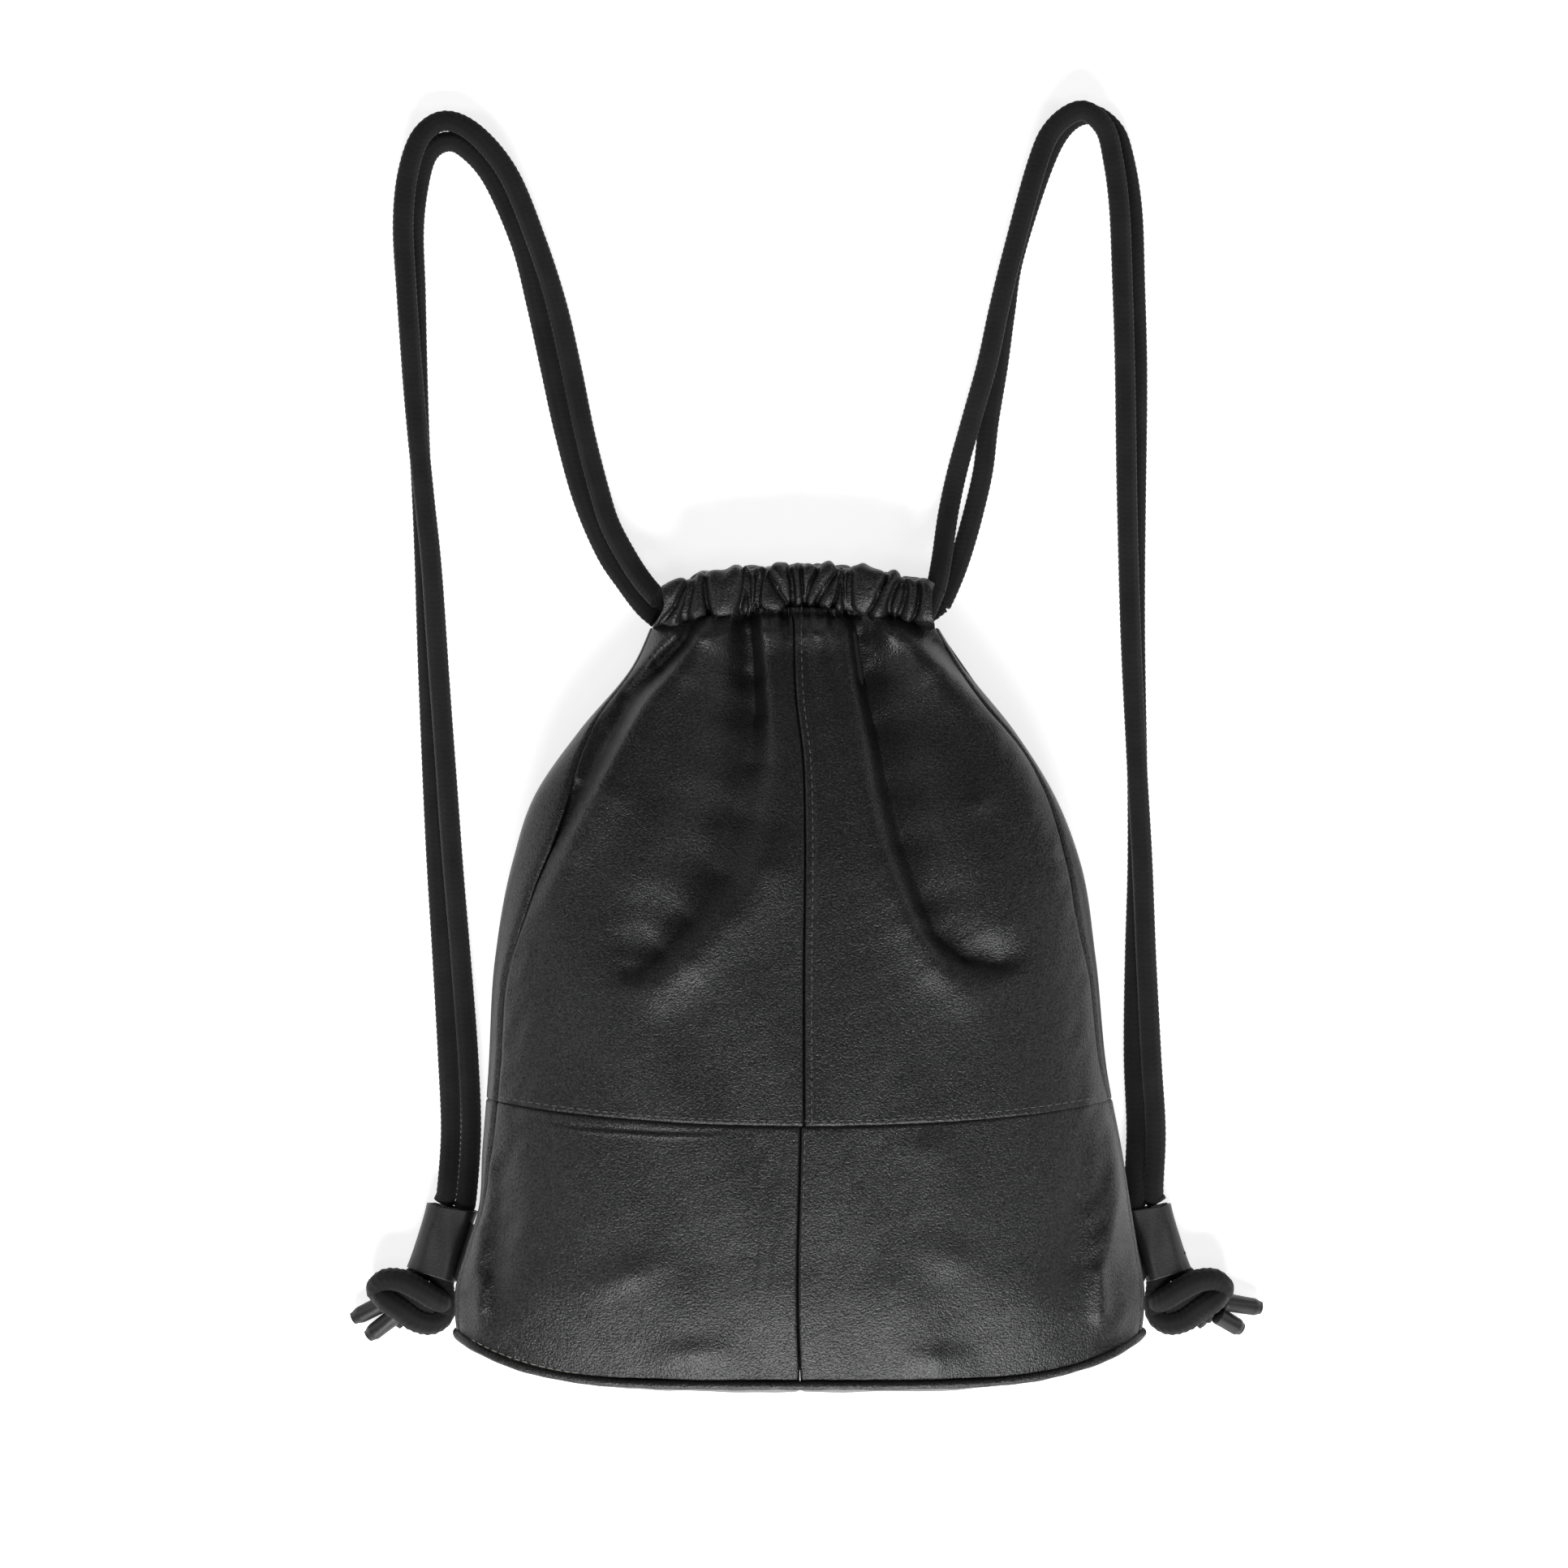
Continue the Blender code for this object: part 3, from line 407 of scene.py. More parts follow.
def woven_material(name, colour):
    """Plain woven lining cloth."""
    material, tree, shader = new_material(name)
    place = tree.nodes.new("ShaderNodeTexCoord").outputs["Object"]
    weave = add_node(tree, "ShaderNodeTexWave", Scale=900.0, Distortion=0.5)
    tree.links.new(place, weave.inputs["Vector"])
    bump = add_node(tree, "ShaderNodeBump", Strength=0.3, Distance=0.0003)
    tree.links.new(weave.outputs["Fac"], bump.inputs["Height"])
    tree.links.new(bump.outputs["Normal"], shader.inputs["Normal"])
    low = tuple(c * 0.8 for c in colour)
    tree.links.new(ramp(tree, weave.outputs["Fac"], low, colour), shader.inputs["Base Color"])
    shader.inputs["Roughness"].default_value = 0.9
    return material


# ---------------------------------------------------------------- shared geometry
def link(obj, body, material):
    bpy.context.scene.collection.objects.link(obj)
    obj.data.materials.append(material)
    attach(obj, body)
    return obj


def mesh_piece(name, vertices, faces, body, material, smooth=True):
    mesh = bpy.data.meshes.new(name)
    mesh.from_pydata([tuple(map(float, v)) for v in vertices], [], faces)
    if smooth:
        mesh.shade_smooth()
    return link(bpy.data.objects.new(name, mesh), body, material)


def read_table(x, table, column):
    """Read one column of a table on a smooth curve through its rows, for an array of x."""
    xs = np.array([row[0] for row in table])
    ys = np.array([row[column] for row in table])
    slopes = np.gradient(ys, xs)
    x = np.clip(np.asarray(x, float), xs[0], xs[-1])
    i = np.clip(np.searchsorted(xs, x) - 1, 0, len(xs) - 2)
    step = xs[i + 1] - xs[i]
    t = (x - xs[i]) / step
    low = (1 + 2 * t) * (1 - t) ** 2 * ys[i] + t * (1 - t) ** 2 * step * slopes[i]
    high = t * t * (3 - 2 * t) * ys[i + 1] + t * t * (t - 1) * step * slopes[i + 1]
    return low + high


def ease(value, start, end):
    t = np.clip((value - start) / (end - start), 0.0, 1.0)
    return t * t * (3 - 2 * t)


def ripple(x, y, size, seed, count=6):
    """A smooth, repeatable unevenness between about -1 and 1, with waves of a given size."""
    random = np.random.default_rng(seed)
    total = np.zeros_like(x)
    for _ in range(count):
        turn = random.uniform(0, 2 * math.pi)
        wave = 2 * math.pi / (size * random.uniform(0.6, 1.6))
        phase = random.uniform(0, 2 * math.pi)
        total += np.sin(wave * (x * math.cos(turn) + y * math.sin(turn)) + phase)
    return total / math.sqrt(count)


def skin(y, angle):
    """Points of the bag's smooth outer form, for arrays of height and angle round it."""
    y, angle = np.broadcast_arrays(np.asarray(y, float), np.asarray(angle, float))
    angle = (angle + math.pi) % (2 * math.pi) - math.pi
    right = np.abs(angle) <= math.pi / 2
    half = np.where(right, read_table(y, SECTIONS, 2), read_table(y, SECTIONS, 1))
    side = np.where(right, 1.0, -1.0)
    top = read_table(y, SECTIONS, 3)
    edge = read_table(y, SECTIONS, 4)
    power = 2 / FRONT_ROUNDNESS
    lift = np.clip(np.sin(angle), 0.0, 1.0)
    front_x = half * np.abs(np.cos(angle)) ** power
    front_z = edge + (top - edge) * lift ** power
    turn = np.minimum(-angle, math.pi + angle) / (math.pi / 2)
    corner = np.clip(turn / BACK_CORNER, 0, 1) * math.pi / 2
    flat = np.clip((turn - BACK_CORNER) / (1 - BACK_CORNER), 0, 1)
    back_x = half * np.where(turn < BACK_CORNER, BACK_FLAT + (1 - BACK_FLAT) * np.cos(corner),
                             BACK_FLAT * (1 - flat))
    back_z = edge * (1 - np.sin(corner))
    x = side * np.where(angle >= 0, front_x, back_x)
    z = np.where(angle >= 0, front_z, back_z)
    return np.stack([x, y, z], axis=-1)


def across(angle):
    place = skin(0.0, angle)[..., 0]
    half = np.where(place >= 0, read_table(0.0, SECTIONS, 2), read_table(0.0, SECTIONS, 1))
    return np.clip(np.abs(place) / half, 0, 1)


def base_seam_y(angle):
    rise = 1 - across(angle) ** BASE_CORNER_POWER
    return BASE_SIDE_Y + (BASE_MIDDLE_Y - BASE_SIDE_Y) * rise


def middle_seam_y(angle):
    rise = 1 - across(angle) ** 2
    return SEAM_SIDE_Y + (SEAM_MIDDLE_Y - SEAM_SIDE_Y) * rise


def side_seam_angle(y, side):
    """Angle round the bag of a side seam at each height."""
    share = read_table(y, SIDE_SEAMS, 2 if side > 0 else 1)
    return np.arccos(np.clip(share, 0, 1) ** (FRONT_ROUNDNESS / 2))


def neck_y(angle):
    out = across(angle) * 0.0745
    return NECK_Y - NECK_DIP * (out / 0.064) ** 2


def fold_height(x, y):
    """Height of all folds at points of the front. Along one fold, its nearest and highest part rules."""
    total = np.zeros_like(x)
    for fold in FOLDS:
        strength = np.zeros_like(x)
        for start, end in zip(fold, fold[1:]):
            x0, y0, h0, left0, right0 = (value * MILLIMETRE for value in start)
            x1, y1, h1, left1, right1 = (value * MILLIMETRE for value in end)
            dx, dy = x1 - x0, y1 - y0
            t = np.clip(((x - x0) * dx + (y - y0) * dy) / (dx * dx + dy * dy), 0, 1)
            apart = np.hypot(x - x0 - t * dx, y - y0 - t * dy)
            side = (dx * (y - y0) - dy * (x - x0)) / (np.hypot(dx, dy) * (apart + 1e-9))
            left = left0 + (left1 - left0) * t
            right = right0 + (right1 - right0) * t
            width = left + (right - left) * ease(side, -1.0, 1.0)
            height = (h0 + (h1 - h0) * t) * np.exp(-(apart / width) ** 2)
            strength += np.abs(height) ** FOLD_BLEND
        total += math.copysign(1.0, sum(point[2] for point in fold)) * strength ** (1 / FOLD_BLEND)
    return total * FOLD_STRENGTH


def front_relief(x, y):
    soft = 0.0005 * ripple(x, y, 0.07, 3) + 0.00008 * ripple(x, y, 0.02, 4)
    vertical = ripple(x, y * 0.12, 0.005, 5)
    left = ease(x, -0.03, -0.02) * (1 - ease(x, -0.01, -0.004))
    right = ease(x, 0.012, 0.022) * (1 - ease(x, 0.05, 0.062))
    fine = 0.00016 * vertical * (left + right) * ease(y, -0.165, -0.145) * (1 - ease(y, -0.085, -0.078))
    down = np.clip(NECK_Y - y, 0.0, None)
    gathers = np.zeros_like(x)
    for at, depth, width, _ in FRONT_PLEATS:
        line = at * (1 + 2.0 * down)
        gathers -= depth * np.exp(-((x - line) / (width * GATHER_SPREAD + 0.12 * down)) ** 2)
    gathers *= np.exp(-down / GATHER_FADE)
    gathers += NECK_SWELL * np.exp(-((down - NECK_SWELL_DROP) / NECK_SWELL_REACH) ** 2)
    half = read_table(y, SECTIONS, 1)
    sides = 0.00055 * ripple(x * 1.6, y, 0.016, 9) * ease(np.abs(x) / half, 0.8, 0.92)
    return fold_height(x, y) + gathers + soft + fine + sides


def back_relief(x, y):
    """Hollows of the back panel: it lies on the floor, so folds only rise away from it."""
    down = np.clip(NECK_Y - y, 0.0, None)
    spread = x / (1 + 6.0 * down)
    pleat = 0.5 - 0.5 * np.cos(2 * math.pi * spread / 0.015 + 0.8 * np.sin(spread * 90))
    gathers = 0.005 * pleat * np.exp(-down / 0.035)
    return gathers + 0.0005 * (1 + ripple(x, y, 0.07, 7)) * ease(down, 0.0, 0.06)


def seam_shift(x, y, table, half):
    """Move the middle of a panel sideways so that the centre seam wanders."""
    return read_table(y, table, 1) * np.clip(1 - np.abs(x) / half, 0, 1) ** 2


# ---------------------------------------------------------------- bag panels
def even_angles(start, end, count):
    """Angles that divide the bag's girth evenly between two of them."""
    fine = np.linspace(start, end, 600)
    points = skin(0.0, fine)
    steps = np.linalg.norm(np.diff(points, axis=0), axis=1)
    run = np.concatenate([[0.0], np.cumsum(steps)])
    return np.interp(np.linspace(0, run[-1], count), run, fine)


def grid_faces(rows, columns):
    a = np.arange(rows * columns).reshape(rows, columns)
    quads = np.stack([a[:-1, :-1], a[1:, :-1], a[1:, 1:], a[:-1, 1:]], axis=-1)
    return quads.reshape(-1, 4).tolist()


def add_thickness(obj, thickness):
    solid = obj.modifiers.new("thickness", "SOLIDIFY")
    solid.thickness = thickness
    solid.offset = -1.0
    return solid


def panel_surface(face, level, side, angles, rows):
    """The outer surface of one sewn panel, with its folds, seams and rolled edges."""
    if level == "upper":
        low = middle_seam_y(angles) - 0.0006
        high = neck_y(angles) + 0.003
    else:
        low = base_seam_y(angles) + 0.0012
        high = middle_seam_y(angles) + 0.0022
    t = np.linspace(0, 1, rows)[:, None]
    y = low[None, :] + (high - low)[None, :] * t
    angle = np.broadcast_to(angles[None, :], y.shape)
    seam_angle = side_seam_angle(y, side)
    turned = angle if side > 0 else math.pi - angle
    if face == "front":
        span = (math.pi / 2 - seam_angle) / (math.pi / 2 - SIDE_SEAM)
        turned = math.pi / 2 - (math.pi / 2 - turned) * span
    else:
        stretch = np.clip((turned + 0.35) / (SIDE_SEAM + 0.35), 0, 1)
        turned = turned + (seam_angle - SIDE_SEAM) * stretch
    angle = turned if side > 0 else math.pi - turned
    points = skin(y, angle)
    x, z = points[..., 0], points[..., 2]
    facing = np.clip(np.sin(angle), 0, 1) ** 0.5
    table = UPPER_SEAM if level == "upper" else LOWER_SEAM
    from_side = np.abs(turned - seam_angle)
    if face == "front":
        z = z + front_relief(x, y) * facing
        from_side = from_side * 0.07
    else:
        flat = np.clip(-np.sin(angle) * 1.6 - 0.4, 0, 1)
        z = z + back_relief(x, y) * flat
        from_side = from_side * 0.05
    from_middle = np.abs(x)
    inward = np.zeros_like(x)
    if side > 0 and level == "upper" and face == "front":
        inward -= 0.0007 * (1 - ease(from_middle, 0.0042, 0.0064))
    inward += CENTRE_GROOVE[0] * np.exp(-(from_middle / CENTRE_GROOVE[1]) ** 2)
    inward += SIDE_GROOVE[0] * np.exp(-(from_side / SIDE_GROOVE[1]) ** 2)
    seam = middle_seam_y(angle)
    if level == "upper":
        inward += 0.0009 * (1 - ease(y - low[None, :], 0.0, 0.001))
        inward += 0.0012 * ease(y, NECK_Y - 0.004, NECK_Y + 0.001)
    else:
        inward += 0.0016 * ease(y - seam, -0.0018, 0.0002)
        inward += 0.0012 * (1 - ease(y - low[None, :], 0.0, 0.0016))
    ahead = np.stack([np.gradient(x, axis=1), np.gradient(y, axis=1), np.gradient(z, axis=1)], -1)
    up = np.stack([np.gradient(x, axis=0), np.gradient(y, axis=0), np.gradient(z, axis=0)], -1)
    normal = np.cross(ahead, up)
    normal /= np.linalg.norm(normal, axis=-1, keepdims=True) + 1e-12
    outward = np.stack([x, np.zeros_like(x), z - read_table(y, SECTIONS, 3) / 2], -1)
    flip = np.sign(np.sum(normal * outward, axis=-1, keepdims=True))
    normal *= np.where(flip == 0, 1, flip)
    surface = np.stack([x, y, z], -1) - normal * inward[..., None]
    surface[..., 0] += seam_shift(x, y, table, 0.15) + side * 0.00012
    surface[..., 2] = np.maximum(surface[..., 2], 0.0)
    return surface


def add_panel(face, level, side, quality):
    name = "right" if side > 0 else "left"
    if face == "front":
        angles = even_angles(SIDE_SEAM, math.pi / 2, int(126 * quality))
    else:
        angles = even_angles(-math.pi / 2, SIDE_SEAM, int(120 * quality))
    if side < 0:
        angles = math.pi - angles[::-1]
    rows = int((180 if level == "upper" else 96) * quality)
    surface = panel_surface(face, level, side, angles, rows)
    node = f"{face}_{level}_{name}_panel"
    faces = grid_faces(rows, len(angles))
    obj = mesh_piece(node + "_skin", surface.reshape(-1, 3), faces, "bag", LEATHER_SKIN)
    add_thickness(obj, LEATHER)
    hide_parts(node)
    return obj, surface


def add_front_lining(quality):
    """The front half of the cloth bag, hanging just inside the folds of the leather."""
    angles = even_angles(SIDE_SEAM + 0.02, math.pi - SIDE_SEAM - 0.02, int(150 * quality))
    rows = int(170 * quality)
    low = base_seam_y(angles) + LINING_BASE_GAP
    high = neck_y(angles) - LINING_NECK_GAP
    y = low[None, :] + (high - low)[None, :] * np.linspace(0, 1, rows)[:, None]
    angle = np.broadcast_to(angles[None, :], y.shape)
    points = skin(y, angle)
    middle = points.copy()
    middle[..., 0] = 0.0
    middle[..., 2] = read_table(y, SECTIONS, 3) * 0.4
    inward = middle - points
    inward /= np.linalg.norm(inward, axis=-1, keepdims=True)
    points += inward * LINING_INSET
    points[..., 2] += front_relief(points[..., 0], y) * np.clip(np.sin(angle), 0, 1) ** 0.5
    obj = mesh_piece("lining_front_cloth", points.reshape(-1, 3), grid_faces(rows, len(angles)),
                     "bag", LINING)
    add_thickness(obj, 0.0006)
    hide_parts("lining_front")


# ---------------------------------------------------------------- tubes and rope
def smooth_route(points, spacing):
    """Points at an even spacing along a Catmull-Rom curve through the route's own points."""
    route = [Vector(p) for p in points]
    route = [2 * route[0] - route[1]] + route + [2 * route[-1] - route[-2]]
    fine = []
    for i in range(1, len(route) - 2):
        p0, p1, p2, p3 = route[i - 1:i + 3]
        for k in range(16):
            t = k / 16
            fine.append(0.5 * (2 * p1 + (p2 - p0) * t + (2 * p0 - 5 * p1 + 4 * p2 - p3) * t * t
                               + (3 * p1 - p0 - 3 * p2 + p3) * t ** 3))
    fine.append(route[-2])
    fine = np.array(fine)
    run = np.concatenate([[0.0], np.cumsum(np.linalg.norm(np.diff(fine, axis=0), axis=1))])
    count = max(3, round(run[-1] / spacing) + 1)
    at = np.linspace(0, run[-1], count)
    return np.stack([np.interp(at, run, fine[:, axis]) for axis in range(3)], -1)


def carried_frames(path, first_side):
    """Sideways and upward directions carried along a path without twisting."""
    tangents = np.gradient(path, axis=0)
    tangents /= np.linalg.norm(tangents, axis=1, keepdims=True)
    sideways = np.array(first_side, float)
    sides = []
    for tangent in tangents:
        sideways = sideways - tangent * np.dot(sideways, tangent)
        sideways /= np.linalg.norm(sideways)
        sides.append(sideways.copy())
    sides = np.array(sides)
    return tangents, sides, np.cross(tangents, sides)


def tube_arrays(path, radii, segments, first_side=(0.0, 0.0, 1.0)):
    """Vertices of a tube: radii is one row for each point of the path, one column a segment."""
    _, sides, ups = carried_frames(path, first_side)
    turn = np.linspace(0, 2 * math.pi, segments, endpoint=False)
    ring = np.cos(turn)[None, :, None] * sides[:, None, :] + np.sin(turn)[None, :, None] * ups[:, None, :]
    return path[:, None, :] + ring * radii[..., None]


def tube_faces(rings, segments, caps=True):
    a = np.arange(rings * segments).reshape(rings, segments)
    b = np.roll(a, -1, axis=1)
    quads = np.stack([a[:-1], b[:-1], b[1:], a[1:]], axis=-1).reshape(-1, 4).tolist()
    if caps:
        quads.append(a[0][::-1].tolist())
        quads.append(a[-1].tolist())
    return quads


def braid_radii(path, segments, radius):
    """A knitted rope's surface: rounded columns of slanting yarns, alternating in direction."""
    run = np.concatenate([[0.0], np.cumsum(np.linalg.norm(np.diff(path, axis=0), axis=1))])
    turn = np.linspace(0, 1, segments, endpoint=False)
    columns = 8
    column = turn * columns
    inside = column - np.floor(column)
    way = np.where(np.floor(column) % 2 == 0, 1.0, -1.0)
    yarn = np.cos(2 * math.pi * (run[:, None] / 0.003 + way[None, :] * (inside[None, :] - 0.5) * 0.7))
    rounded = np.sin(math.pi * inside) ** 0.6
    slow = 0.01 * np.sin(run / 0.017)[:, None]
    flattened = 1 + 0.05 * np.cos(4 * math.pi * turn + math.pi)
    relief = 0.99 + 0.045 * rounded[None, :] + 0.036 * yarn * rounded[None, :] + slow
    return radius * flattened[None, :] * relief


def rope_piece(name, points, body, radius=ROPE_RADIUS, taper=0.0):
    spacing = 0.0008
    path = smooth_route(points, spacing)
    segments = 40
    radii = braid_radii(path, segments, radius)
    if taper:
        ends = np.minimum(np.arange(len(path)), np.arange(len(path))[::-1]) * spacing
        radii *= (0.25 + 0.75 * np.sqrt(ease(ends, 0.0, taper)))[:, None]
    vertices = tube_arrays(path, radii, segments)
    faces = tube_faces(len(path), segments)
    return mesh_piece(name, vertices.reshape(-1, 3), faces, body, ROPE), path


def hinge_line(side):
    mouth = Vector((side * LOOP_MOUTH[0], LOOP_MOUTH[1], LOOP_MOUTH[2]))
    neck = Vector((side * EXIT_MIDDLE[0], EXIT_MIDDLE[1], EXIT_MIDDLE[2]))
    return mouth, neck, (neck - mouth).normalized()


def loop_frame(side):
    down = Vector((side * math.sin(LOOP_LEAN), -math.cos(LOOP_LEAN), 0.0))
    sideways = Vector((side * math.cos(LOOP_LEAN), math.sin(LOOP_LEAN), 0.0))
    return down, sideways


def resting_heights(route, below):
    low = smooth_route([(x, y, 0.0) for x, y in below], 0.003)
    heights = []
    for x, y in route:
        apart = np.linalg.norm(low[:, :2] - np.array([x, y]), axis=1).min()
        heights.append(FLOOR_Z + math.sqrt(max(STACK_SPACING ** 2 - apart ** 2, 0.0)))
    return heights


def add_strand(name, side, route, outer_lane, below):
    mouth, neck, along = hinge_line(side)
    down, sideways = loop_frame(side)
    heights = resting_heights(route, below) if below else [FLOOR_Z] * len(route)
    descent = FRONT_DESCENT if below else BACK_DESCENT
    for i, least in enumerate(descent[1:]):
        heights[i] = max(heights[i], least)
    skipped, lead = NECK_LEADS[name]
    points = [Vector(point) for point in lead]
    points += [Vector((x, y, z)) for (x, y), z in zip(route, heights)][skipped:]
    lane = mouth + sideways * (LANE_SPACING / 2 * (1 if outer_lane else -1))
    points.append(lane - down * LANE_APPROACH)
    points.append(lane - down * MOUTH_GAP)
    body = "left_strap" if side < 0 else "right_strap"
    rope, path = rope_piece(name + "_rope", points, body)
    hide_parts(name)


def add_casing_run(side):
    """The rope inside both tunnels: in at the front, round at the far end and back behind."""
    name = "right" if side > 0 else "left"
    lane = LANE_SPACING / 2 * (-side)
    front = NECK_LEADS[f"{name}_strap_strand_front"][1][0]
    back = NECK_LEADS[f"{name}_strap_strand_back"][1][0]
    middle = (CASING_FRONT_Z + CASING_BACK_Z) / 2
    radius = (CASING_FRONT_Z - CASING_BACK_Z) / 2
    tunnel = [side * x for x in TUNNEL_X]
    points = [front]
    points += [(side * x, casing_middle_y(x) + lane, z) for x, z in CASING_LEADS]
    points += [(x, casing_middle_y(x) + lane, CASING_FRONT_Z) for x in tunnel]
    for angle in np.linspace(0, math.pi, 9):
        x = -side * (TURN_X + radius * math.sin(angle))
        points.append((x, casing_middle_y(x) + lane, middle + radius * math.cos(angle)))
    points += [(x, casing_middle_y(x) + lane, CASING_BACK_Z) for x in reversed(tunnel)]
    points += [(side * x, casing_middle_y(x) + lane, 2 * middle - z) for x, z in reversed(CASING_LEADS)]
    points.append(back)
    rope, _ = rope_piece(f"{name}_rope_casing_run_rope", points, "bag")
    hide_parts(f"{name}_rope_casing_run")


def add_straps():
    add_strand("left_strap_strand_back", -1, LEFT_OUTER_STRAND, True, None)
    add_strand("left_strap_strand_front", -1, LEFT_INNER_STRAND, False, LEFT_OUTER_STRAND)
    add_strand("right_strap_strand_back", 1, RIGHT_OUTER_STRAND, False, None)
    add_strand("right_strap_strand_front", 1, RIGHT_INNER_STRAND, True, RIGHT_OUTER_STRAND)


# ---------------------------------------------------------------- casing
def casing_middle_y(x):
    return CASING_Y - NECK_DIP * (x / 0.064) ** 2


def add_casing(name, z, pleats, back, seed):
    """A gathered tunnel: the leather bunches into round lumps between the valleys of its pleats."""
    quality = 1.0
    count = int(460 * quality)
    segments = int(110 * quality)
    x = np.linspace(-CASING_HALF - 0.002, CASING_HALF, count)[:, None]
    turn = np.linspace(0, 2 * math.pi, segments, endpoint=False)[None, :]
    power = 0.62
    up = np.sign(np.cos(turn)) * np.abs(np.cos(turn)) ** power
    out = np.sign(np.sin(turn)) * np.abs(np.sin(turn)) ** power
    lines = []
    inward = np.zeros((count, segments))
    for at, depth, width, lean in pleats:
        line = at + lean * up * CASING_HEIGHT / 2 + 0.0009 * np.sin(3 * turn + at * 900)
        inward += depth * np.exp(-np.abs((x - line) / width) ** 1.4)
        lines.append(line)
    edges = [lines[0] * 0 - CASING_HALF - 0.006] + lines + [lines[0] * 0 + CASING_HALF + 0.005]
    bulge = np.zeros((count, segments))
    for left, right in zip(edges, edges[1:]):
        half = np.maximum((right - left) / 2, 0.0006)
        place = (x - (left + right) / 2) / half
        lump = np.minimum(half * LUMP_SHARE, LUMP_LIMIT) * np.sqrt(np.clip(1 - place ** 2, 0, 1))
        bulge = np.maximum(bulge, lump)
    swell = 0.0007 * ripple(x + 0 * turn, 0.01 * np.cos(turn) + 0 * x, 0.02, seed)
    swell += 0.0003 * ripple(x + 0 * turn, 0.01 * np.sin(turn) + 0 * x, 0.008, seed + 1)
    body = 1.0 - 0.2 * ease(np.abs(x), 0.06, 0.071)
    height = CASING_HEIGHT / 2 * body - 0.001 + bulge * 0.55 + swell - inward * 0.45
    depth = CASING_DEPTH / 2 * body + bulge * 0.95 + swell * 0.6 - inward
    height = np.maximum(height, ROPE_ROOM[0])
    depth = np.maximum(depth, ROPE_ROOM[1])
    bottom = np.clip(-up, 0, 1) ** 3
    flare = 0.005 * ease(-x, 0.055, 0.071) * np.clip(-up, 0, 1)
    px = x + 0.0008 * np.sin(turn * 2 + x * 300) - flare
    py = casing_middle_y(x) + up * height + 0.0012 * bottom
    pz = z + out * depth - (0.0 if back else 0.001) * bottom
    if back:
        pz = np.maximum(pz, 0.0004)
    points = np.stack([px, py, pz], -1)
    obj = mesh_piece(name + "_leather", points.reshape(-1, 3), tube_faces(count, segments, False),
                     "bag", LEATHER_SKIN)
    add_thickness(obj, CASING_LEATHER)
    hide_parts(name)
    return obj


# ---------------------------------------------------------------- base
def base_ring_points(scale, angles):
    points = skin(base_seam_y(angles), angles)
    middle_z = read_table(points[:, 1], SECTIONS, 3) / 2
    x = points[:, 0] * scale
    z = middle_z + (points[:, 2] - middle_z) * scale
    y = BASE_MIDDLE_Y + (points[:, 1] - BASE_MIDDLE_Y) * scale ** BASE_CORNER_POWER
    return np.stack([x, y, z], -1)


def add_base(quality):
    for side, name in ((1, "base_right_panel"), (-1, "base_left_panel")):
        angles = even_angles(-math.pi / 2, math.pi / 2, int(120 * quality))
        if side < 0:
            angles = math.pi - angles[::-1]
        scales = np.concatenate([np.linspace(1.0, 0.9, 8), np.linspace(0.88, 0.002, int(40 * quality))])
        rows = []
        for scale in scales:
            ring = base_ring_points(scale, angles)
            drop = BASE_BULGE * (1 - scale ** 2) + 0.0024 * (1 - ease(scale, 0.97, 1.0)) - 0.0004
            drop = drop - 0.001 * np.exp(-(ring[:, 0] / 0.0012) ** 2)
            ring[:, 1] -= drop + 0.0004 * ripple(ring[:, 0], ring[:, 2], 0.035, 21)
            ring[:, 0] += side * 0.00012
            rows.append(ring)
        points = np.array(rows)
        obj = mesh_piece(name + "_skin", points.reshape(-1, 3), grid_faces(len(scales), len(angles)),
                         "bag", LEATHER_SKIN)
        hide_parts(name)
        solid = add_thickness(obj, LEATHER)
        solid.offset = 1.0


def add_welt(quality):
    angles = even_angles(-math.pi / 2, 1.5 * math.pi, int(700 * quality))[:-1]
    path = skin(base_seam_y(angles), angles)
    path[:, 1] -= 0.0006
    path[:, 2] = np.maximum(path[:, 2], WELT_RADIUS)
    turn = np.linspace(0, 2 * math.pi, 16, endpoint=False)
    tangents = np.roll(path, -1, axis=0) - np.roll(path, 1, axis=0)
    tangents /= np.linalg.norm(tangents, axis=1, keepdims=True)
    sides = np.cross(tangents, np.array([0.0, 1.0, 0.0]))
    sides /= np.linalg.norm(sides, axis=1, keepdims=True)
    ups = np.cross(tangents, sides)
    run = np.arange(len(path)) * 0.0013
    radius = WELT_RADIUS * (1 + 0.06 * np.sin(run / 0.011) + 0.04 * np.sin(run / 0.0041))
    ring = np.cos(turn)[None, :, None] * sides[:, None] + np.sin(turn)[None, :, None] * ups[:, None]
    points = path[:, None] + ring * radius[:, None, None]
    rings = len(path)
    a = np.arange(rings * 16).reshape(rings, 16)
    b = np.roll(a, -1, axis=1)
    quads = np.stack([a, b, np.roll(b, -1, axis=0), np.roll(a, -1, axis=0)], -1).reshape(-1, 4)
    obj = mesh_piece("base_welt_piping", points.reshape(-1, 3), quads.tolist(), "bag",
                     LEATHER_SKIN)
    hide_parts("base_welt")


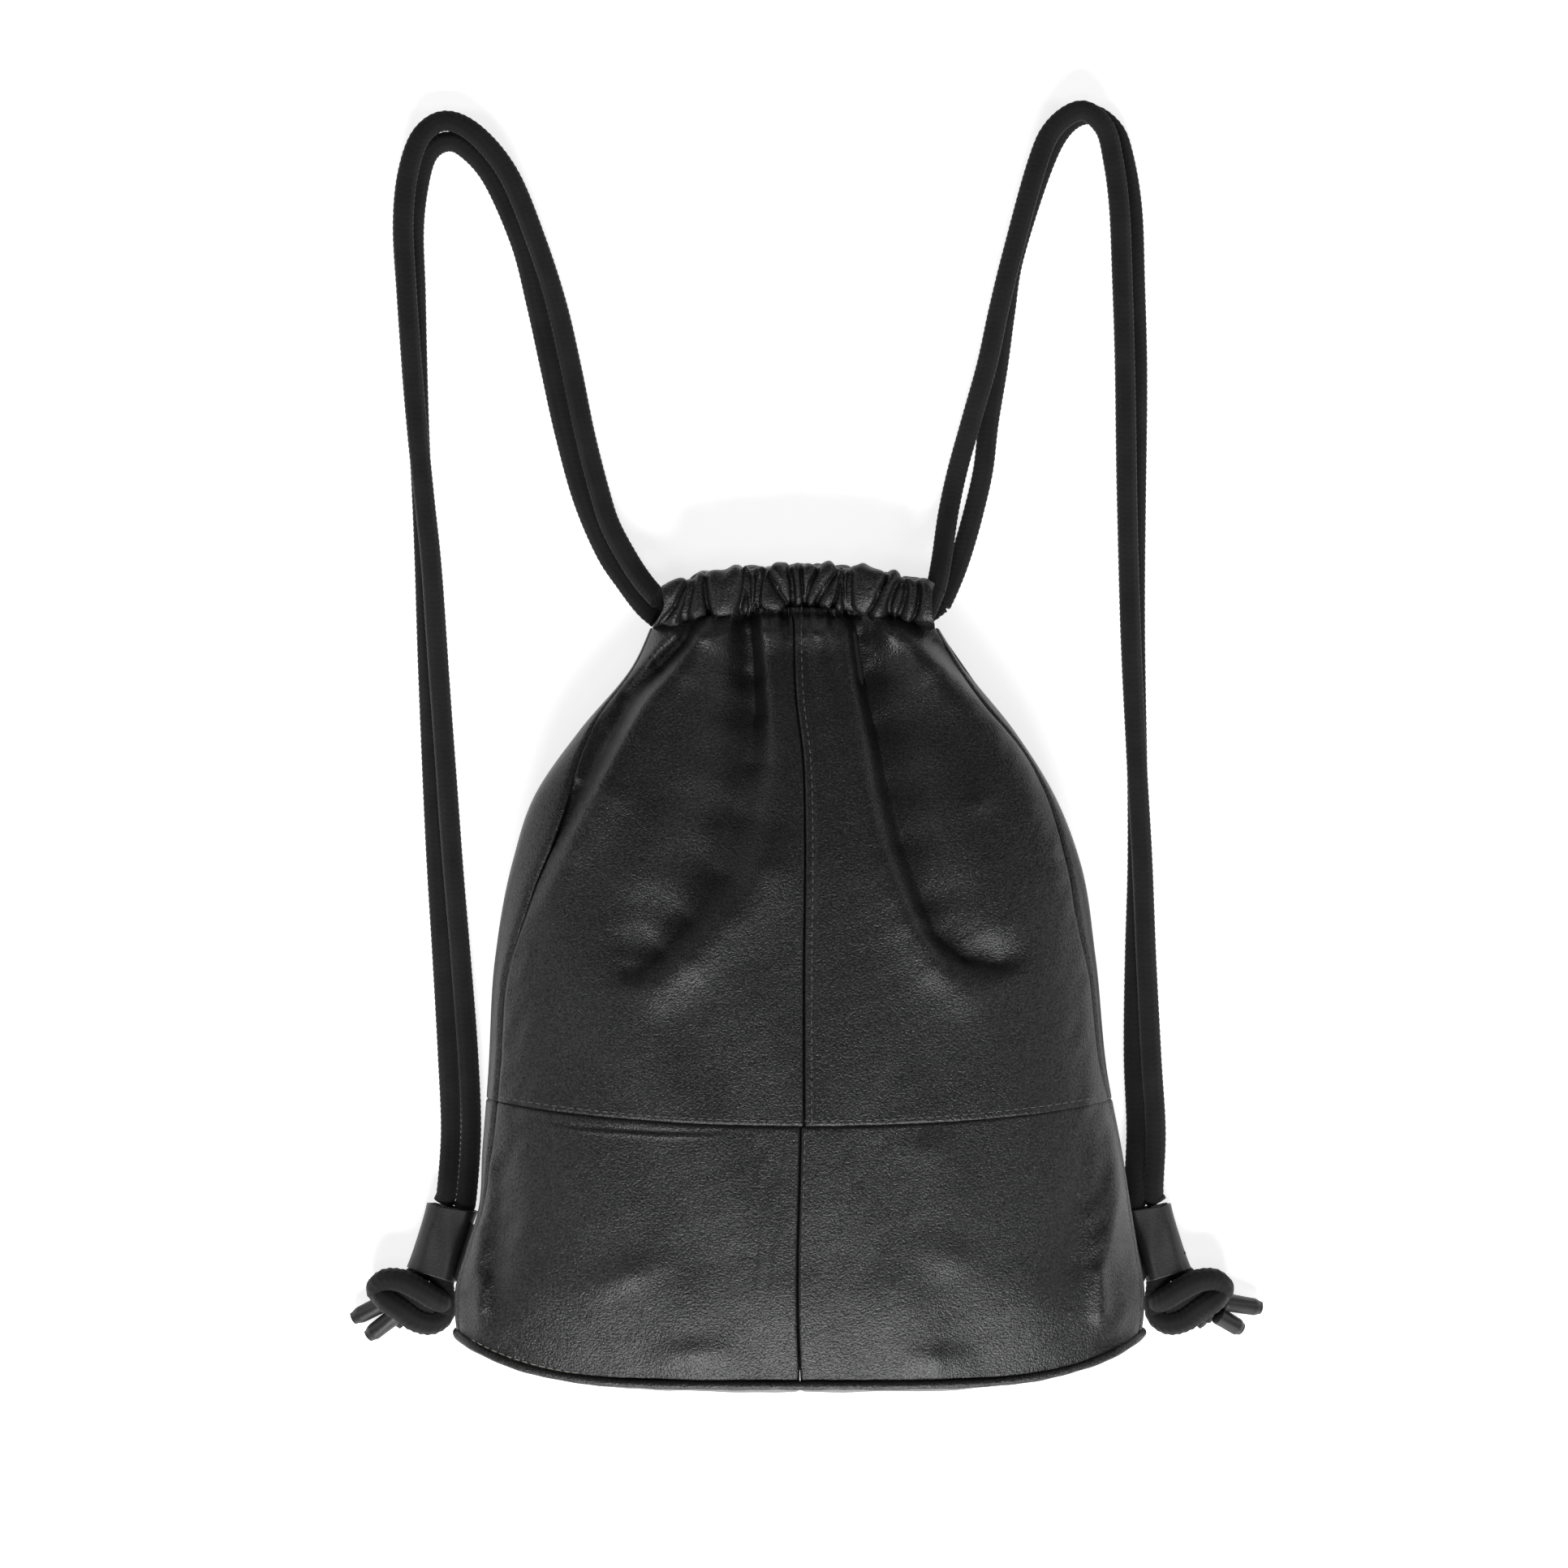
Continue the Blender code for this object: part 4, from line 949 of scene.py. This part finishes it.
# ---------------------------------------------------------------- stitching
def stitch_mesh(name, rows, body, material):
    """Thread stitches as small rounded rods lying along each given row of points."""
    vertices = []
    faces = []
    segments = 6
    turn = np.linspace(0, 2 * math.pi, segments, endpoint=False)
    profile = ((-0.5, 0.3), (-0.36, 0.85), (0.0, 1.0), (0.36, 0.85), (0.5, 0.3))
    for places, normals in rows:
        run = np.concatenate([[0.0], np.cumsum(np.linalg.norm(np.diff(places, axis=0), axis=1))])
        for at in np.arange(STITCH_PITCH / 2, run[-1], STITCH_PITCH):
            ends = []
            for offset in (-STITCH_LENGTH / 2, STITCH_LENGTH / 2):
                ends.append([np.interp(at + offset, run, places[:, k]) for k in range(3)])
            normal = np.array([np.interp(at, run, normals[:, k]) for k in range(3)])
            ends = np.array(ends)
            middle = ends.mean(axis=0)
            along = ends[1] - ends[0]
            length = np.linalg.norm(along)
            along /= length
            sideways = np.cross(along, normal)
            sideways /= np.linalg.norm(sideways)
            up = np.cross(sideways, along)
            first = len(vertices)
            for t, size in profile:
                sink = 0.0003 * abs(2 * t) ** 3
                centre = middle + along * t * length + normal * (STITCH_RADIUS * 0.35 - sink)
                for angle in turn:
                    ring = sideways * math.cos(angle) + up * math.sin(angle)
                    vertices.append(centre + ring * STITCH_RADIUS * size)
            local = tube_faces(len(profile), segments)
            faces += [[first + i for i in face] for face in local]
    return mesh_piece(name, vertices, faces, body, material)


def cast_row(trees, points, direction):
    """Drop a row of points onto the finished leather and read its place and normal."""
    places = []
    normals = []
    for point in points:
        hits = []
        for tree in trees:
            place, normal, _, distance = tree.ray_cast(Vector(point), Vector(direction))
            if place is not None:
                hits.append((distance, place, normal))
        if hits:
            distance, place, normal = min(hits, key=lambda hit: hit[0])
            if normal.dot(Vector(direction)) > 0:
                normal = -normal
            places.append(place)
            normals.append(normal)
    return np.array(places), np.array(normals)


def surface_tree(surface):
    rows, columns = surface.shape[:2]
    return BVHTree.FromPolygons(surface.reshape(-1, 3).tolist(), grid_faces(rows, columns))


def add_stitching(surfaces):
    front = [surface_tree(s) for key, s in surfaces.items() if key[0] == "front"]
    back = [surface_tree(s) for key, s in surfaces.items() if key[0] == "back"]
    rows = []
    y = np.linspace(SEAM_MIDDLE_Y + 0.001, NECK_Y - 0.006, 160)
    x = read_table(y, UPPER_SEAM, 1) + 0.0038
    rows.append(cast_row(front, np.stack([x, y, 0 * y + 0.2], -1), (0, 0, -1)))
    y = np.linspace(BASE_MIDDLE_Y + 0.005, SEAM_MIDDLE_Y - 0.003, 90)
    x = read_table(y, LOWER_SEAM, 1) + 0.0022
    rows.append(cast_row(front, np.stack([x, y, 0 * y + 0.2], -1), (0, 0, -1)))
    angles = even_angles(SIDE_SEAM, math.pi - SIDE_SEAM, 260)
    flat = skin(middle_seam_y(angles), angles)
    flat[:, 1] += 0.0024
    flat[:, 2] = 0.2
    rows.append(cast_row(front, flat, (0, 0, -1)))
    stitch_mesh("front_topstitching", rows, "bag", THREAD)
    angles = even_angles(math.pi - 0.95, math.pi - SIDE_SEAM - 0.03, 60)
    flat = skin(base_seam_y(angles), angles)
    flat[:, 1] += 0.0026
    flat[:, 2] = 0.2
    stitch_mesh("welt_corner_stitching", [cast_row(front, flat, (0, 0, -1))], "bag", PALE_THREAD)
    rows = []
    for table, low, high in ((UPPER_SEAM, SEAM_MIDDLE_Y, NECK_Y - 0.008),
                             (LOWER_SEAM, BASE_MIDDLE_Y + 0.006, SEAM_MIDDLE_Y - 0.002)):
        y = np.linspace(low, high, 120)
        x = read_table(y, table, 1) - 0.0032
        rows.append(cast_row(back, np.stack([x, y, 0 * y - 0.1], -1), (0, 0, 1)))
    flat = skin(middle_seam_y(-angles), -angles)
    keep = np.abs(flat[:, 0]) < 0.15
    flat = flat[keep]
    flat[:, 1] += 0.0024
    flat[:, 2] = -0.1
    rows.append(cast_row(back, flat, (0, 0, 1)))
    stitch_mesh("back_topstitching", rows, "bag", THREAD)


# ---------------------------------------------------------------- anchor loops, knots, tips
def stadium(width, depth, count):
    """Evenly spaced points round a flattened tube's section."""
    radius = depth / 2
    reach = width / 2 - radius
    turn = np.linspace(0, 2 * math.pi, count, endpoint=False)
    return np.stack([np.clip(np.cos(turn) * 4, -1, 1) * reach + radius * np.cos(turn),
                     radius * np.sin(turn)], -1)


def add_anchor_loop(side):
    name = "right" if side > 0 else "left"
    mouth = np.array(hinge_line(side)[0])
    down, sideways = (np.array(v) for v in loop_frame(side))
    up = np.array([0.0, 0.0, 1.0])
    rings = 60
    count = 72
    t = np.linspace(0, 1, rings)
    rows = []
    for k, s in enumerate(t):
        flare = 1 + 0.05 * abs(2 * s - 1) ** 3
        outline = stadium(LOOP_WIDTH * flare, LOOP_DEPTH * flare, count)
        skew = 0.0018 * outline[:, 0] / (LOOP_WIDTH / 2) * (1 - s)
        wave = 0.00025 * np.sin(outline[:, 0] * 500 + s * 7)
        centre = mouth + down * (LOOP_LENGTH * s)
        row = centre + outline[:, :1] * sideways + (outline[:, 1:] + wave[:, None]) * up
        rows.append(row + skew[:, None] * down)
    points = np.array(rows)
    obj = mesh_piece(f"{name}_anchor_loop_leather", points.reshape(-1, 3),
                     tube_faces(rings, count, False), "bag", LEATHER_SMOOTH)
    add_thickness(obj, 0.0013)
    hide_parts(f"{name}_anchor_loop")
    rows = []
    for s in np.linspace(0.12, 0.92, 30):
        root = mouth + down * (LOOP_LENGTH * s) - sideways * (LOOP_WIDTH / 2 - 0.0008)
        strip = []
        for k in np.linspace(0, 1, 16):
            rise = 0.012 + (0.044 - 0.012) * k
            lean = -0.0004 - 0.0052 * k
            strip.append([*(root + sideways * lean)[:2], rise])
        rows.append(strip)
    tab = mesh_piece(f"{name}_anchor_tab", np.array(rows).reshape(-1, 3), grid_faces(30, 16),
                     "bag", LEATHER_SMOOTH)
    solid = add_thickness(tab, 0.0016)
    solid.offset = 0.0
    return obj


# The knot's two strands from the loop's lower end, and a short core that fills the space between
# them: outward, along the bag and upward, from the knot's middle. The outer strand wraps over the
# top, the inner one round the bag's side of the knot and below it.
KNOT_LINES = (
    ("outer", ((-0.008, 0.0225, -0.002), (-0.005, 0.0135, -0.003), (0.003, 0.006, -0.0075),
               (0.011, 0.001, -0.007), (0.0165, 0.003, -0.003), (0.0172, 0.0062, 0.002),
               (0.0125, 0.01, 0.0055), (0.0044, 0.0098, 0.0075), (-0.0046, 0.0055, 0.008),
               (-0.0118, 0.0008, 0.006), (-0.0155, -0.002, 0.0), (-0.011, -0.004, -0.007),
               (0.0, -0.004, -0.009), (0.008, -0.006, -0.006), (0.013, -0.0075, -0.004))),
    ("inner", ((-0.0185, 0.0195, -0.002), (-0.016, 0.011, -0.002), (-0.016, 0.004, -0.002),
               (-0.017, -0.003, -0.002), (-0.0155, -0.0095, -0.002), (-0.01, -0.0125, 0.0025),
               (-0.0025, -0.0105, 0.006), (0.0045, -0.0055, 0.0075), (0.0115, -0.001, 0.0065),
               (0.015, 0.002, 0.0), (0.012, 0.0, -0.007), (0.006, -0.008, -0.008),
               (0.01, -0.012, -0.006))),
    ("core", ((0.012, 0.003, 0.0), (0.004, 0.0025, 0.0025), (-0.004, -0.002, 0.0025),
              (-0.011, -0.0055, 0.0))),
)
KNOT_ROPE_RADIUS = 0.006
KNOT_PLACE = (0.2035, -0.169, 0.016)
TIPS = {
    -1: (((0.214, -0.17), (0.2345, -0.1808)), ((0.211, -0.1775), (0.2265, -0.19))),
    1: (((0.2225, -0.1715), (0.242, -0.175)), ((0.219, -0.1785), (0.2318, -0.1862))),
}


def add_knot(side):
    name = "right" if side > 0 else "left"
    centre = np.array([side * KNOT_PLACE[0], KNOT_PLACE[1], KNOT_PLACE[2]])
    pieces = []
    for which, line in KNOT_LINES:
        points = np.array(line) * [side, 1.0, 1.0] + centre
        points[:, 2] = np.maximum(points[:, 2], FLOOR_Z + 0.0004)
        piece, _ = rope_piece(f"{name}_knot_strand_{which}", [Vector(p) for p in points],
                                 f"{name}_rope_end", KNOT_ROPE_RADIUS)
        pieces.append(piece)
    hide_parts(f"{name}_knot")
    return pieces


def add_tips(side):
    """Leather tubes glued over the rope's ends, drawn in a little at their open mouths."""
    name = "right" if side > 0 else "left"
    for (root, end), which in zip(TIPS[side], ("upper", "lower")):
        a = np.array([side * root[0], root[1], 0.0125])
        b = np.array([side * end[0], end[1], 0.0062])
        count = 50
        t = np.linspace(0, 1, count)[:, None]
        path = a + (b - a) * t
        turn = np.linspace(0, 2 * math.pi, 32, endpoint=False)[None, :]
        radii = (0.0047 - 0.0003 * t - 0.0012 * ease(t, 0.78, 1.0)) * (1 + 0.02 * np.sin(3 * turn + 5 * t))
        radii = radii + 0.00035 * np.exp(-((turn - 1.2) / 0.16) ** 2)
        outer = tube_arrays(path, radii, 32)
        lip = tube_arrays(path[::-1][:12], radii[::-1][:12] * 0.66, 32)
        points = np.concatenate([outer, lip])
        piece = mesh_piece(f"{name}_rope_tip_{which}_leather", points.reshape(-1, 3),
                           tube_faces(len(points), 32), f"{name}_rope_end",
                           LEATHER_SMOOTH)
        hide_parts(f"{name}_rope_tip_{which}")


def finish_cad_nodes():
    """Pieces whose CAD shape stays get only their material."""
    plans = {"lining_back": LINING, "base_board": BOARD}
    for side in ("left", "right"):
        for node in (f"{side}_rope_tail_outer", f"{side}_rope_tail_inner"):
            plans[node] = ROPE
    for node, material in plans.items():
        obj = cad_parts[node]
        obj.data.materials.clear()
        obj.data.materials.append(material)


# ---------------------------------------------------------------- build
add_camera()
LEATHER_SKIN = leather_material("nappa_leather", (0.0065, 0.0065, 0.0068), (0.01, 0.01, 0.0104), 0.37,
                                grain=0.55, cell=900.0)
LEATHER_SMOOTH = leather_material("smooth_leather_strip", (0.01, 0.01, 0.0103),
                                  (0.014, 0.014, 0.0144), 0.45, grain=0.1)
ROPE = rope_material("black_cotton_rope")
LINING = woven_material("lining_cloth", (0.03, 0.03, 0.032))
BOARD = plain_material("fibre_board", (0.12, 0.1, 0.08), 0.85)
THREAD = plain_material("stitching_thread", (0.065, 0.065, 0.067), 0.5)
PALE_THREAD = plain_material("pale_welt_thread", (0.22, 0.2, 0.17), 0.6)
QUALITY = 1.6

add_straps()
for side in (-1, 1):
    add_casing_run(side)
add_stage()
SURFACES = {}
for face in ("front", "back"):
    for level in ("upper", "lower"):
        for side in (-1, 1):
            SURFACES[(face, level, side)] = add_panel(face, level, side, QUALITY)[1]
add_front_lining(QUALITY)
add_casing("casing_front", CASING_FRONT_Z, FRONT_PLEATS, False, 31)
add_casing("casing_back", CASING_BACK_Z, BACK_PLEATS, True, 41)
add_base(QUALITY)
add_welt(QUALITY)
add_stitching(SURFACES)
for side in (-1, 1):
    add_anchor_loop(side)
    add_knot(side)
    add_tips(side)
finish_cad_nodes()
